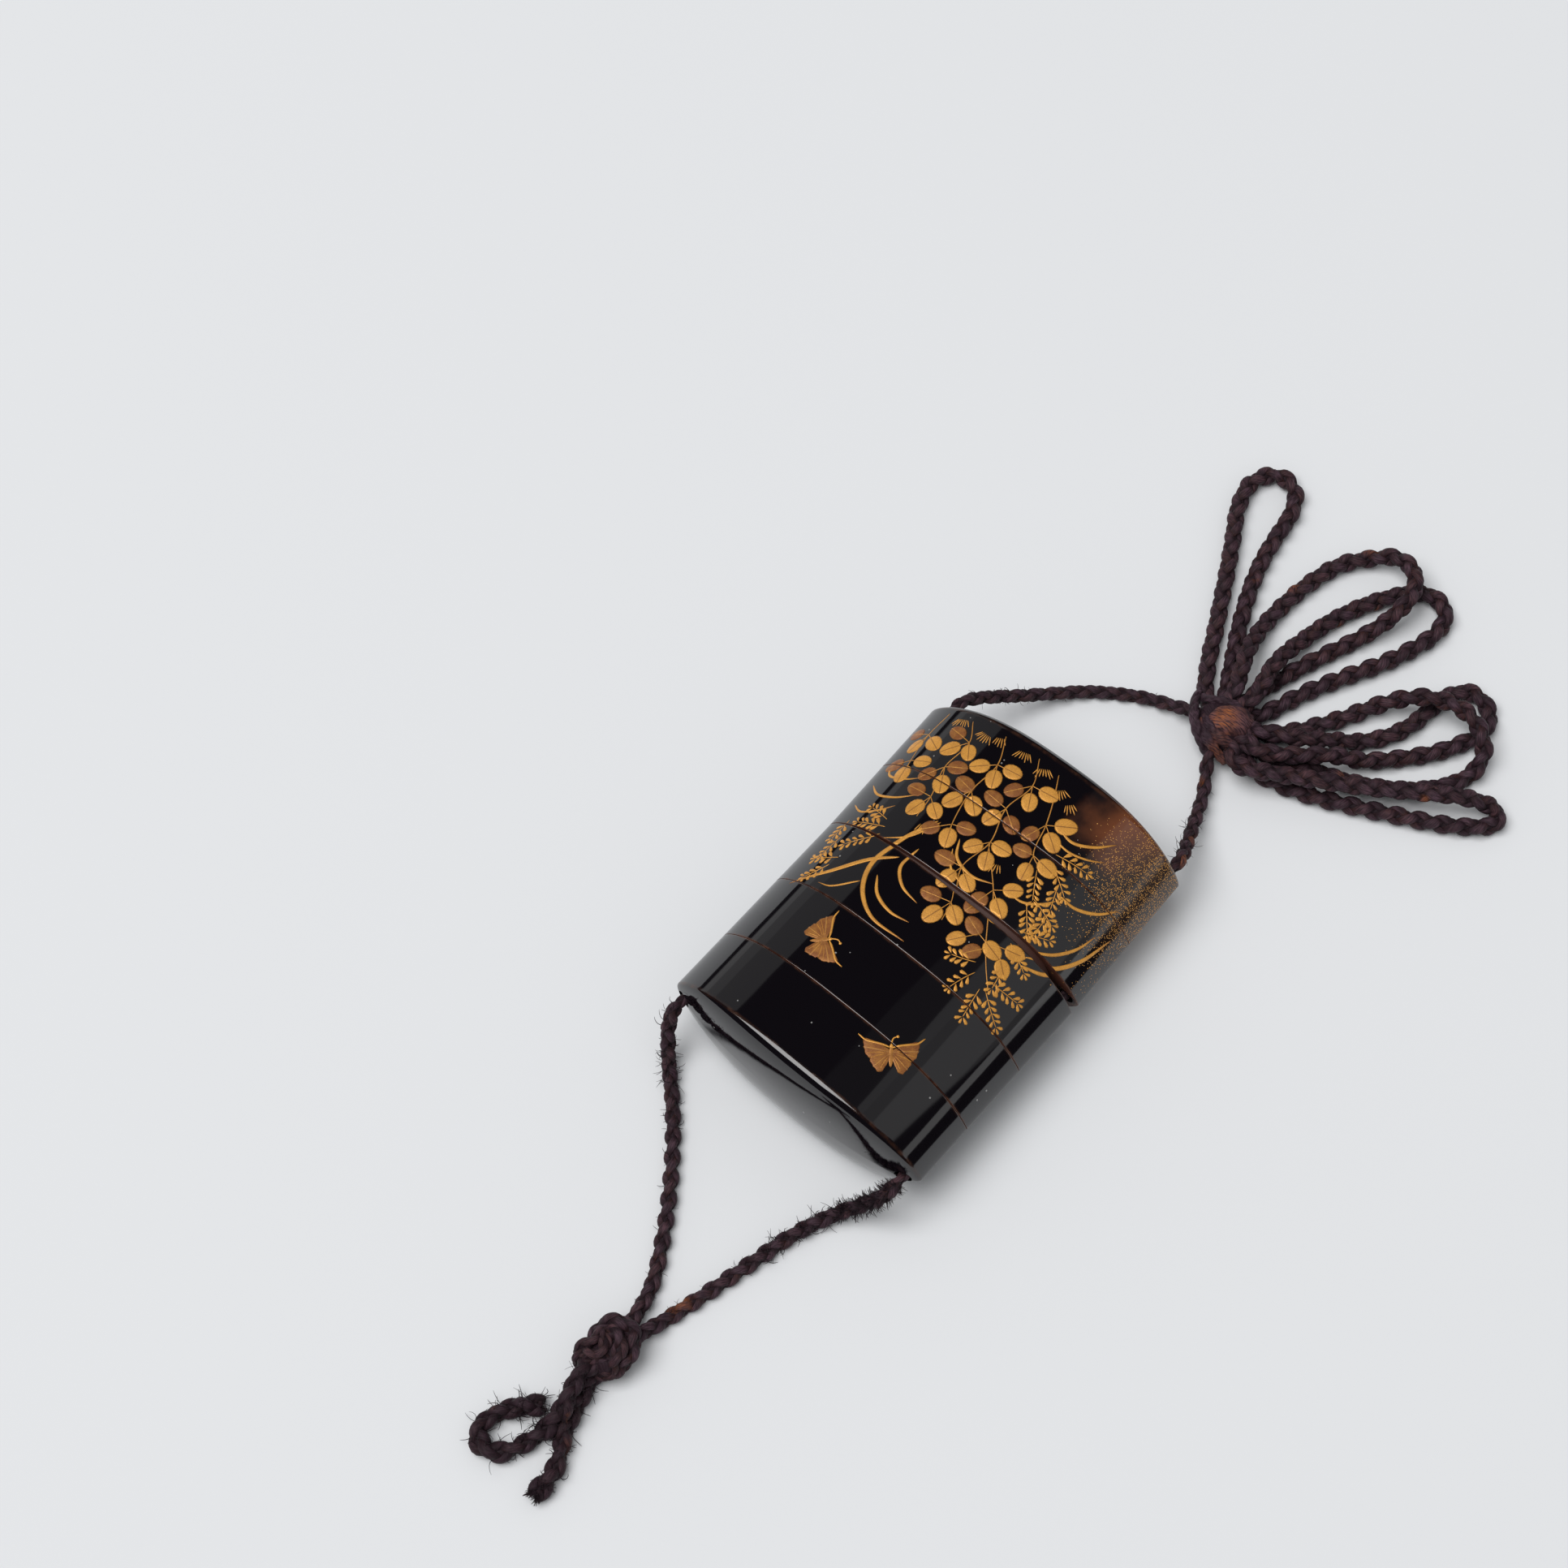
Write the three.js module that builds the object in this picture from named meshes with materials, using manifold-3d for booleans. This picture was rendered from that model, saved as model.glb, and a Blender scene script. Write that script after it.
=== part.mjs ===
// An inro: a small lacquered case of five stacked sections that lies on its back,
// threaded on a braided cord that ends in a bow above it and a knot below it.
// Millimetres. +X runs across the case, +Y from its base to its lid, +Z up from the table.
import * as THREE from "three";
import { mergeVertices } from "three/addons/utils/BufferGeometryUtils.js";
import Module from "manifold-3d";

const wasm = await Module();
wasm.setup();

// ---- Driving dimensions ----------------------------------------------------------------
const CASE_WIDTH = 60;
const CASE_THICKNESS = 25.2;
const RIM_LENGTH = 76; // along the side edges, from the base rim to the lid rim
const REST_DEPTH = 0.2; // taken off the back, so that it rests on a narrow flat strip
const SEAMS = [-24.9, -9.6, 6.1, 22.3]; // heights of the four seams above the middle
const SEAM_GAP = 0.1;
const UPPER_TURN = THREE.MathUtils.degToRad(1.8); // the top two sections stand open here

const BULGE_POWER = 3.1; // the section's curve: flat faces, sloping sides, a soft edge
const EDGE_POWER = 0.77;
const END_DOME = 3.6;
const DOME_POWER = 2.1;
const RIM_BOW = 1.2; // how far each rim bows outwards at the middle of the case

const RISER_HEIGHT = 6;
const FLOOR = 1.5;
const END_WALL_PLANE = 39.5; // inner end faces of the base and the lid
const INNER_POWER = 0.38; // the compartments have rounder ends than the case
const CAVITY = { width: 44.4, thickness: 20.6 };
const RISER = { width: 46.4, thickness: 22.6 };
const SOCKET = { width: 47.0, thickness: 23.2 };

const CHANNEL_OFFSET = 27; // the two cord channels, from the middle of the case
const CHANNEL_RADIUS = 1.7;
const CHANNEL_RUN_OUT = 2.6; // the cord's run ends this far past the rims

const OUTLINE_STEPS = 22; // points along each face of a section
const DOME_SCALES = [0.985, 0.94, 0.84, 0.66, 0.4];

const STRAND = 2.7; // cord through the case
const TAIL = 3.6; // the same cord, worn and fluffed out
const LOOP = 3.9; // the thicker braid of the bow
const CORD_SIDES = 8;
const STEP_DIAMETERS = 1.6;

const LACQUER = new THREE.MeshStandardMaterial({ color: 0x100e10, roughness: 0.12, metalness: 0 });
const BRAID = new THREE.MeshStandardMaterial({ color: 0x372630, roughness: 0.85, metalness: 0 });

const MIDDLE_HEIGHT = CASE_THICKNESS / 2 - REST_DEPTH;

// ---- Geometry helpers --------------------------------------------------------------------
function faceHeight(x, size, power) {
  const across = Math.min(1, Math.abs((2 * x) / size.width));
  return (size.thickness / 2) * (1 - across ** BULGE_POWER) ** power;
}

// Points around a section, from one side edge over the front and back along the back.
function outline(size, power) {
  const points = [];
  for (const face of [1, -1]) {
    for (let i = 0; i < OUTLINE_STEPS; i += 1) {
      const x = face * (size.width / 2) * -Math.cos((Math.PI * i) / OUTLINE_STEPS);
      points.push(new THREE.Vector2(x, face * faceHeight(x, size, power)));
    }
  }
  return points;
}

// A closed solid through rings of points, with a fan over each end.
function loft(rings) {
  const count = rings[0].length;
  const vertices = rings.flat();
  const middle = (ring) => ring.reduce((sum, p) => sum.add(p), new THREE.Vector3()).divideScalar(count);
  vertices.push(middle(rings[0]), middle(rings.at(-1)));
  const index = [];
  for (let r = 0; r + 1 < rings.length; r += 1) {
    for (let i = 0; i < count; i += 1) {
      const a = r * count + i;
      const b = r * count + ((i + 1) % count);
      index.push(a, b, b + count, a, b + count, a + count);
    }
  }
  const last = (rings.length - 1) * count;
  for (let i = 0; i < count; i += 1) {
    const next = (i + 1) % count;
    index.push(rings.length * count, next, i);
    index.push(rings.length * count + 1, last + i, last + next);
  }
  const geometry = new THREE.BufferGeometry().setFromPoints(vertices);
  geometry.setIndex(index);
  return geometry;
}

function toSolid(geometry) {
  const bare = geometry.clone();
  bare.deleteAttribute("normal");
  bare.deleteAttribute("uv");
  const merged = mergeVertices(bare, 1e-5);
  const mesh = new wasm.Mesh({
    numProp: 3,
    vertProperties: Float32Array.from(merged.attributes.position.array),
    triVerts: Uint32Array.from(merged.index.array),
  });
  return new wasm.Manifold(mesh);
}

function toGeometry(solid) {
  const mesh = solid.getMesh();
  const geometry = new THREE.BufferGeometry();
  geometry.setAttribute("position", new THREE.BufferAttribute(mesh.vertProperties, 3));
  geometry.setIndex(new THREE.BufferAttribute(mesh.triVerts, 1));
  geometry.computeVertexNormals();
  return geometry;
}

// A straight length of a section along the case.
function prism(size, power, from, to) {
  const ring = (y) => outline(size, power).map((p) => new THREE.Vector3(p.x, y, p.y));
  return toSolid(loft([ring(from), ring(to)]));
}

// ---- The case ------------------------------------------------------------------------------
const CASE = { width: CASE_WIDTH, thickness: CASE_THICKNESS };

function rimHeight(x) {
  return RIM_LENGTH / 2 + RIM_BOW * (1 - ((2 * x) / CASE_WIDTH) ** 2);
}

// Rings over a domed end: the rim first, then the section shrinking as the dome rises.
function endRings() {
  return [1, ...DOME_SCALES].map((scale) => {
    const rise = END_DOME * (1 - scale ** DOME_POWER) ** (1 / DOME_POWER);
    return outline(CASE, EDGE_POWER).map(
      (p) => new THREE.Vector3(p.x * scale, rimHeight(p.x * scale) + rise, p.y * scale),
    );
  });
}

function flipped(ring) {
  return ring.map((p) => new THREE.Vector3(p.x, -p.y, p.z));
}

// The outside of one section, between two heights; null stands for a domed end.
function shell(from, to) {
  const ring = (y) => outline(CASE, EDGE_POWER).map((p) => new THREE.Vector3(p.x, y, p.y));
  const low = from === null ? endRings().reverse().map(flipped) : [ring(from)];
  const high = to === null ? endRings() : [ring(to)];
  const solid = toSolid(loft([...low, ...high]));
  const slab = new THREE.BoxGeometry(CASE_WIDTH * 2, RIM_LENGTH * 2, CASE_THICKNESS);
  slab.translate(0, 0, -CASE_THICKNESS / 2 - MIDDLE_HEIGHT);
  return solid.subtract(toSolid(slab));
}

function channels() {
  const bores = [-1, 1].map((side) => {
    const bore = new THREE.CylinderGeometry(CHANNEL_RADIUS, CHANNEL_RADIUS, RIM_LENGTH * 2, 12);
    bore.translate(side * CHANNEL_OFFSET, 0, 0);
    return toSolid(bore);
  });
  return bores[0].add(bores[1]);
}

// One section: a hollow compartment with a socket below and a riser above.
function section(name, from, to) {
  const bottom = from === null ? null : from + SEAM_GAP / 2;
  const top = to === null ? null : to - SEAM_GAP / 2;
  let solid = shell(bottom, top);
  const mouth = to === null ? END_WALL_PLANE : to + RISER_HEIGHT;
  if (to !== null) {
    solid = solid.add(prism(RISER, INNER_POWER, top - FLOOR, mouth));
  }
  const socketEnd = from === null ? null : from + RISER_HEIGHT + SEAM_GAP * 3;
  if (from !== null) {
    solid = solid.subtract(prism(SOCKET, INNER_POWER, from - FLOOR, socketEnd));
  }
  const hollowFrom = from === null ? -END_WALL_PLANE : socketEnd + FLOOR;
  const open = to === null ? socketEnd - FLOOR : hollowFrom;
  const hollowTo = to === null ? mouth : mouth + FLOOR;
  solid = solid.subtract(prism(CAVITY, INNER_POWER, open, hollowTo)).subtract(channels());
  const mesh = new THREE.Mesh(toGeometry(solid), LACQUER);
  mesh.name = name;
  return mesh;
}

function lacquerCase() {
  const lower = new THREE.Group();
  lower.add(
    section("base_tier", null, SEAMS[0]),
    section("tier_3", SEAMS[0], SEAMS[1]),
    section("tier_2", SEAMS[1], SEAMS[2]),
  );
  // The top two sections turn together about the left end of the open seam.
  const hinge = new THREE.Vector3(-CASE_WIDTH / 2, SEAMS[2], 0);
  const sections = new THREE.Group();
  sections.add(section("tier_1", SEAMS[2], SEAMS[3]), section("lid", SEAMS[3], null));
  sections.position.copy(hinge).negate();
  const upper = new THREE.Group();
  upper.add(sections);
  upper.position.copy(hinge);
  upper.rotation.z = UPPER_TURN;
  const whole = new THREE.Group();
  whole.add(lower, upper);
  whole.position.z = MIDDLE_HEIGHT;
  whole.updateMatrixWorld(true);
  const middle = new THREE.Box3().setFromObject(whole, true).getCenter(new THREE.Vector3());
  whole.position.x = -middle.x;
  whole.position.y = -middle.y;
  whole.updateMatrixWorld(true);
  return whole;
}

// ---- Cords -----------------------------------------------------------------------------------
function vectors(points) {
  return points.map(([x, y, z]) => new THREE.Vector3(x, y, z));
}

function tube(name, points, diameter) {
  const curve = new THREE.CatmullRomCurve3(vectors(points), false, "centripetal");
  const corners = [];
  for (let i = 0; i < CORD_SIDES; i += 1) {
    const angle = (2 * Math.PI * i) / CORD_SIDES;
    corners.push(new THREE.Vector2(Math.cos(angle), Math.sin(angle)).multiplyScalar(diameter / 2));
  }
  const steps = Math.ceil(curve.getLength() / (diameter * STEP_DIAMETERS));
  const geometry = new THREE.ExtrudeGeometry(new THREE.Shape(corners), {
    steps,
    extrudePath: curve,
    bevelEnabled: false,
  });
  const mesh = new THREE.Mesh(geometry, BRAID);
  mesh.name = name;
  return mesh;
}

// Routes lie on the table at half a cord's height, rise to the case's holes and to the
// knots, and pass over one another in long low humps.
const ROUTES = {
  cord_base_left: [
    [-26.5, -41.8, 12.4], [-26.5, -43.2, 12], [-26.1, -45.2, 8.6], [-24.6, -47.2, 5],
    [-22.3, -49.6, 2.4], [-18.3, -53.3, 1.5], [-12.7, -59.3, 1.45], [-6.6, -66.9, 1.45],
    [-0.4, -76, 1.45], [4, -84, 1.5], [6, -91.2, 3],
  ],
  cord_base_right: [
    [27.5, -41.8, 12.4], [27.4, -43.1, 12], [26.3, -45.1, 8.8], [23.9, -47.2, 5],
    [21, -50.6, 2.4], [17.4, -58.5, 1.5], [14.7, -69.2, 1.45], [12.1, -79.9, 1.45],
    [10.2, -87, 1.6], [9.3, -91, 3],
  ],
  cord_top_left: [
    [-27.7, 40.9, 12.4], [-27.4, 43, 12.1], [-26.6, 45.8, 10.8], [-24.4, 50, 8.4],
    [-21.1, 55.2, 5.6], [-17.4, 60.9, 3], [-12.8, 66.4, 1.6], [-5.1, 71.8, 1.5],
    [1.2, 74.1, 2.6], [5.6, 74.9, 4.2],
  ],
  cord_top_right: [
    [26.4, 42.7, 12.4], [26.2, 44.4, 12], [25.4, 46.8, 10], [23.8, 50.6, 7.2],
    [21.4, 56.5, 4.2], [18.8, 62.6, 2.6], [16.8, 66, 3], [15.3, 68.4, 4],
  ],
  cord_tail_loop: [
    [5.9, -105, 5.2], [6.4, -108.5, 5.4], [7.6, -112, 4.9], [7.6, -115.4, 3],
    [7.2, -118.8, 1.9], [6, -122.2, 1.9], [4, -125.3, 1.9], [1, -126.4, 1.9],
    [-1.6, -124.3, 1.9], [-1.2, -120.7, 1.9], [0.6, -117.4, 1.9], [2.6, -115, 1.9],
    [4.2, -113.6, 1.9],
  ],
  cord_tail_end: [
    [9.6, -104.6, 2.05], [10.2, -108.9, 1.9], [11.1, -112.4, 1.9], [12.5, -115.6, 1.9],
    [13.7, -118.3, 1.9], [14.4, -121.2, 1.9], [14.5, -124.2, 1.9], [14.2, -127.4, 1.9],
  ],
  bow_loop_1: [
    [5.8, 80.4, 2.4], [1.4, 86.8, 2.05], [-2.3, 94, 2.05], [-5.9, 100.8, 2.05],
    [-9.5, 107.6, 2.05], [-13.2, 114.2, 2.05], [-16.6, 120.3, 2.05], [-18, 127, 2.05],
    [-15, 131.6, 2.05], [-10.2, 131, 2.05], [-7.4, 126.3, 2.05], [-6.4, 120.6, 2.05],
    [-5.2, 114, 2.05], [-3.2, 107.4, 2.05], [-0.8, 101.5, 2.05], [1.8, 96, 2.05], [5, 90, 2.05],
    [8.2, 84, 2.3],
  ],
  bow_loop_2: [
    [9.9, 84.3, 6.6], [6.9, 91.5, 6.3], [4.8, 99.5, 3], [4.6, 107.6, 2.05], [5.6, 115.6, 2.05],
    [7.8, 123.1, 2.05], [11.8, 128, 2.6], [16, 130.3, 4.6], [20.6, 129, 6.4],
    [23.5, 125.6, 6.4], [24, 121, 6], [22.8, 116.3, 3.6], [20.7, 111, 2.05], [18, 104, 2.05],
    [15.2, 96, 2.05], [12.3, 85, 2.1],
  ],
  bow_loop_3: [
    [14, 84.9, 6.6], [12.7, 92, 6.4], [12.4, 97, 5.2], [12.7, 103, 3], [14.2, 111, 2.05],
    [17.2, 118.6, 2.05], [20.5, 124.2, 2.05], [23.4, 127.8, 2.05], [27.5, 129.2, 2.05],
    [31, 127.2, 2.05], [31.9, 122.9, 2.05], [30.4, 116.4, 2.05], [28, 110.2, 2.05],
    [24, 102.4, 2.05], [20.2, 94.4, 2.05], [16.5, 84.2, 2.1],
  ],
  bow_loop_4: [
    [19.9, 81.6, 2.1], [23.8, 86, 2.05], [27, 90.8, 2.05], [29.8, 95.6, 2.05],
    [32.4, 100.3, 2.6], [35.7, 104, 4.6], [39.5, 106.8, 6.4], [43.3, 108.9, 6.4],
    [48, 109.6, 6.4], [52.5, 108, 6.4], [55.6, 105.4, 4.8], [56.2, 101.2, 2.6],
    [54.2, 96.6, 2.05], [50, 91.5, 2.05], [43.9, 86.9, 2.05], [37, 83.3, 2.05],
    [29.2, 80.6, 2.05], [21.9, 77.9, 2.1],
  ],
  bow_loop_5: [
    [21, 80.1, 6.6], [26, 83, 6.4], [30.8, 87.8, 4.4], [35.2, 92.8, 2.05], [38.7, 97.6, 2.05],
    [40.6, 102.6, 2.05], [41.3, 107.6, 2.05], [42.4, 112.6, 2.05], [44.9, 116, 2.05],
    [48.6, 116.1, 2.05], [51.6, 113.7, 2.05], [52.3, 110.1, 2.05], [50.8, 106, 2.05],
    [47.7, 100.3, 2.05], [42.8, 94.3, 2.05], [38.3, 89.1, 3.2], [33.4, 84.3, 6.4],
    [28.3, 79.8, 6.4], [22.3, 75.9, 6.6],
  ],
  bow_loop_6: [
    [20.9, 70.6, 6.4], [27.8, 74, 6.4], [34.2, 77.8, 6.4], [40.8, 81.8, 6.4], [47, 86, 6.4],
    [53, 90.2, 6.4], [58, 93.8, 6], [61.6, 96.4, 4.2], [64.6, 97.7, 2.5], [66, 95.5, 2.05],
    [62.6, 91.6, 2.05], [56.8, 87.7, 2.05], [49.9, 84, 2.05], [42.9, 80.4, 2.05],
    [35.7, 77, 2.05], [29, 74.7, 2.05], [21.4, 73.7, 2.2],
  ],
};

function routeDiameter(name) {
  if (name.startsWith("bow_loop")) return LOOP;
  return name.startsWith("cord_tail") ? TAIL : STRAND;
}

// The cord's run through one side of the case, bending where the top sections are turned.
function channelRun(name, side, casePosition) {
  const end = RIM_LENGTH / 2 + CHANNEL_RUN_OUT;
  const hinge = new THREE.Vector3(-CASE_WIDTH / 2, SEAMS[2], 0);
  const turned = (y) => {
    const point = new THREE.Vector3(side * CHANNEL_OFFSET, y, 0).sub(hinge);
    return point.applyAxisAngle(new THREE.Vector3(0, 0, 1), UPPER_TURN).add(hinge);
  };
  const straight = (y) => new THREE.Vector3(side * CHANNEL_OFFSET, y, 0);
  const points = [straight(-end), straight(SEAMS[1]), turned(SEAMS[3]), turned(end)];
  return tube(name, points.map((p) => p.add(casePosition).toArray()), STRAND);
}

// ---- Knots -----------------------------------------------------------------------------------
// A knot is a few rounded turns of cord drawn tight: overlapping balls with a flat foot.
function knot(name, turns) {
  let solid = null;
  for (const { at, size } of turns) {
    const ball = new THREE.SphereGeometry(1, 14, 9);
    ball.scale(...size);
    ball.translate(...at);
    solid = solid === null ? toSolid(ball) : solid.add(toSolid(ball));
  }
  const table = new THREE.BoxGeometry(400, 400, 10);
  table.translate(0, 0, -5);
  const mesh = new THREE.Mesh(toGeometry(solid.subtract(toSolid(table))), BRAID);
  mesh.name = name;
  return mesh;
}

const BOW_KNOT = [
  { at: [12.4, 75.3, 5.3], size: [6.2, 5.9, 5.6] },
  { at: [13.6, 77, 4.3], size: [7.3, 7.3, 4.7] },
];
const END_KNOT = [
  { at: [7.6, -95.6, 4.4], size: [5.2, 4.4, 4.6] },
  { at: [7, -100.3, 3.9], size: [4.9, 4.4, 4.1] },
];

// ---- Assembly --------------------------------------------------------------------------------
const inro = new THREE.Group();
const body = lacquerCase();
inro.add(body);
for (const [name, points] of Object.entries(ROUTES)) {
  inro.add(tube(name, points, routeDiameter(name)));
}
inro.add(channelRun("cord_channel_left", -1, body.position));
inro.add(channelRun("cord_channel_right", 1, body.position));
inro.add(knot("bow_knot", BOW_KNOT), knot("end_knot", END_KNOT));

export default inro;
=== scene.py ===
"""The looks of a lacquered inro case on its braided cord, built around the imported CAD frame."""

import itertools
import math
import random

import bmesh
import bpy
import numpy as np
from mathutils import Matrix, Vector, noise
from mathutils.geometry import interpolate_bezier


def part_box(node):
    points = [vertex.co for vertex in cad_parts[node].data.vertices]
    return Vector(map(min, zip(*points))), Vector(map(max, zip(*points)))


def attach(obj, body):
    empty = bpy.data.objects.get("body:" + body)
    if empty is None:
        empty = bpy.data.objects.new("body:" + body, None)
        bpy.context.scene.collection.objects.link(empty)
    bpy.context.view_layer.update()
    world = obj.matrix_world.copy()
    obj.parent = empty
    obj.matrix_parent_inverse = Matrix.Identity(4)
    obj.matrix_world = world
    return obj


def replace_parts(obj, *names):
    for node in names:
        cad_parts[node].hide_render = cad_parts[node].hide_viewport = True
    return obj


bl_info = {
    "name": "Inro Case",
    "version": (1, 0, 0),
    "blender": (4, 5, 0),
    "location": "3D View > Sidebar > Inro",
    "description": "Builds a lacquered inro with its gold decoration, braided cord, bow and knots",
    "category": "Add Mesh",
}

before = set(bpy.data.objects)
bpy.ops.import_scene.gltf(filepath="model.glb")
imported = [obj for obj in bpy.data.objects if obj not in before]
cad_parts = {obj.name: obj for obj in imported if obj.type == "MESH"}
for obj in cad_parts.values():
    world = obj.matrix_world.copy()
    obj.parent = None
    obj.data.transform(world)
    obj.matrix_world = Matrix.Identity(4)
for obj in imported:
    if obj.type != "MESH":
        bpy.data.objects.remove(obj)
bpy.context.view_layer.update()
MM = 0.001

# ---- Sizes shared with the CAD model, in millimetres -------------------------------------------
SEAMS = (-24.9, -9.6, 6.1, 22.3)
SEAM_GAP = 0.1
RISER_HEIGHT = 6.0
FLOOR = 1.5
END_WALL_PLANE = 39.5
RIM_LENGTH = 76.0
RIM_BOW = 1.2
END_DOME = 3.6
DOME_POWER = 2.1
BULGE_POWER = 3.1
EDGE_POWER = 0.77
INNER_POWER = 0.38
CASE_THICKNESS = 25.2
REST_DEPTH = 0.2
CAVITY = (44.4, 20.6)
RISER = (46.4, 22.6)
SOCKET = (47.0, 23.2)
CHANNEL_OFFSET = 27.0
CHANNEL_RADIUS = 1.7
UPPER_TURN = math.radians(1.8)

BASE_LOW, BASE_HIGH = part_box("base_tier")
CASE_WIDTH = round((BASE_HIGH.x - BASE_LOW.x) / MM, 2)
MIDDLE_HEIGHT = CASE_THICKNESS / 2 - REST_DEPTH
CASE_MIDDLE = Vector((
    (BASE_HIGH.x + BASE_LOW.x) / 2 / MM,
    BASE_HIGH.y / MM - (SEAMS[0] + RISER_HEIGHT),
    MIDDLE_HEIGHT,
))
HINGE = Vector((-CASE_WIDTH / 2, SEAMS[2], 0))  # the upper sections turn about this point

SECTIONS = (
    ("base_tier", None, SEAMS[0], 0.0),
    ("tier_3", SEAMS[0], SEAMS[1], 0.0),
    ("tier_2", SEAMS[1], SEAMS[2], 0.0),
    ("tier_1", SEAMS[2], SEAMS[3], UPPER_TURN),
    ("lid", SEAMS[3], None, UPPER_TURN),
)

# ---- Routes of the cord, in millimetres: the CAD model's, but the two ends lie closer together --
BASE_LEFT = [
    (-26.5, -41.8, 12.4), (-26.5, -43.2, 12), (-26.1, -45.2, 8.6), (-24.6, -47.2, 5),
    (-22.3, -49.6, 2.4), (-18.3, -53.3, 1.5), (-12.7, -59.3, 1.45), (-6.6, -66.9, 1.45),
    (-0.4, -76, 1.45), (4, -84, 1.5), (6, -91.2, 3),
]
BASE_RIGHT = [
    (27.5, -41.8, 12.4), (27.4, -43.1, 12), (26.3, -45.1, 8.8), (23.9, -47.2, 5),
    (21, -50.6, 2.4), (17.4, -58.5, 1.5), (14.7, -69.2, 1.45), (12.1, -79.9, 1.45),
    (10.2, -87, 1.6), (9.3, -91, 3),
]
TOP_LEFT = [
    (-27.7, 40.9, 12.4), (-27.4, 43, 12.1), (-26.6, 45.8, 10.8), (-24.4, 50, 8.4),
    (-21.1, 55.2, 5.6), (-17.4, 60.9, 3), (-12.8, 66.4, 1.6), (-5.1, 71.8, 1.5),
    (1.2, 74.1, 2.6), (5.6, 74.9, 4.2),
]
TOP_RIGHT = [
    (26.4, 42.7, 12.4), (26.2, 44.4, 12), (25.4, 46.8, 10), (23.8, 50.6, 7.2),
    (21.4, 56.5, 4.2), (18.8, 62.6, 2.6), (16.8, 66, 3), (15.3, 68.4, 4),
]
TAIL_LOOP = [
    (6.1, -105, 5.2), (6.9, -108.5, 5.2), (8, -112, 4.7), (8, -115.4, 3),
    (7.2, -118.8, 1.9), (6, -122.2, 1.9), (4, -125.3, 1.9), (1, -126.4, 1.9),
    (-1.6, -124.3, 1.9), (-1.2, -120.7, 1.9), (0.6, -117.4, 1.9), (2.6, -115, 1.9),
    (4.2, -113.6, 1.9),
]
TAIL_END = [
    (7.8, -104.6, 2.05), (8.6, -108.9, 1.9), (9.5, -112.4, 1.9), (11, -115.6, 1.9),
    (12.8, -118.3, 1.9), (13.9, -121.2, 1.9), (14.3, -124, 1.9), (14.3, -126.4, 1.9),
]
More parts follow.
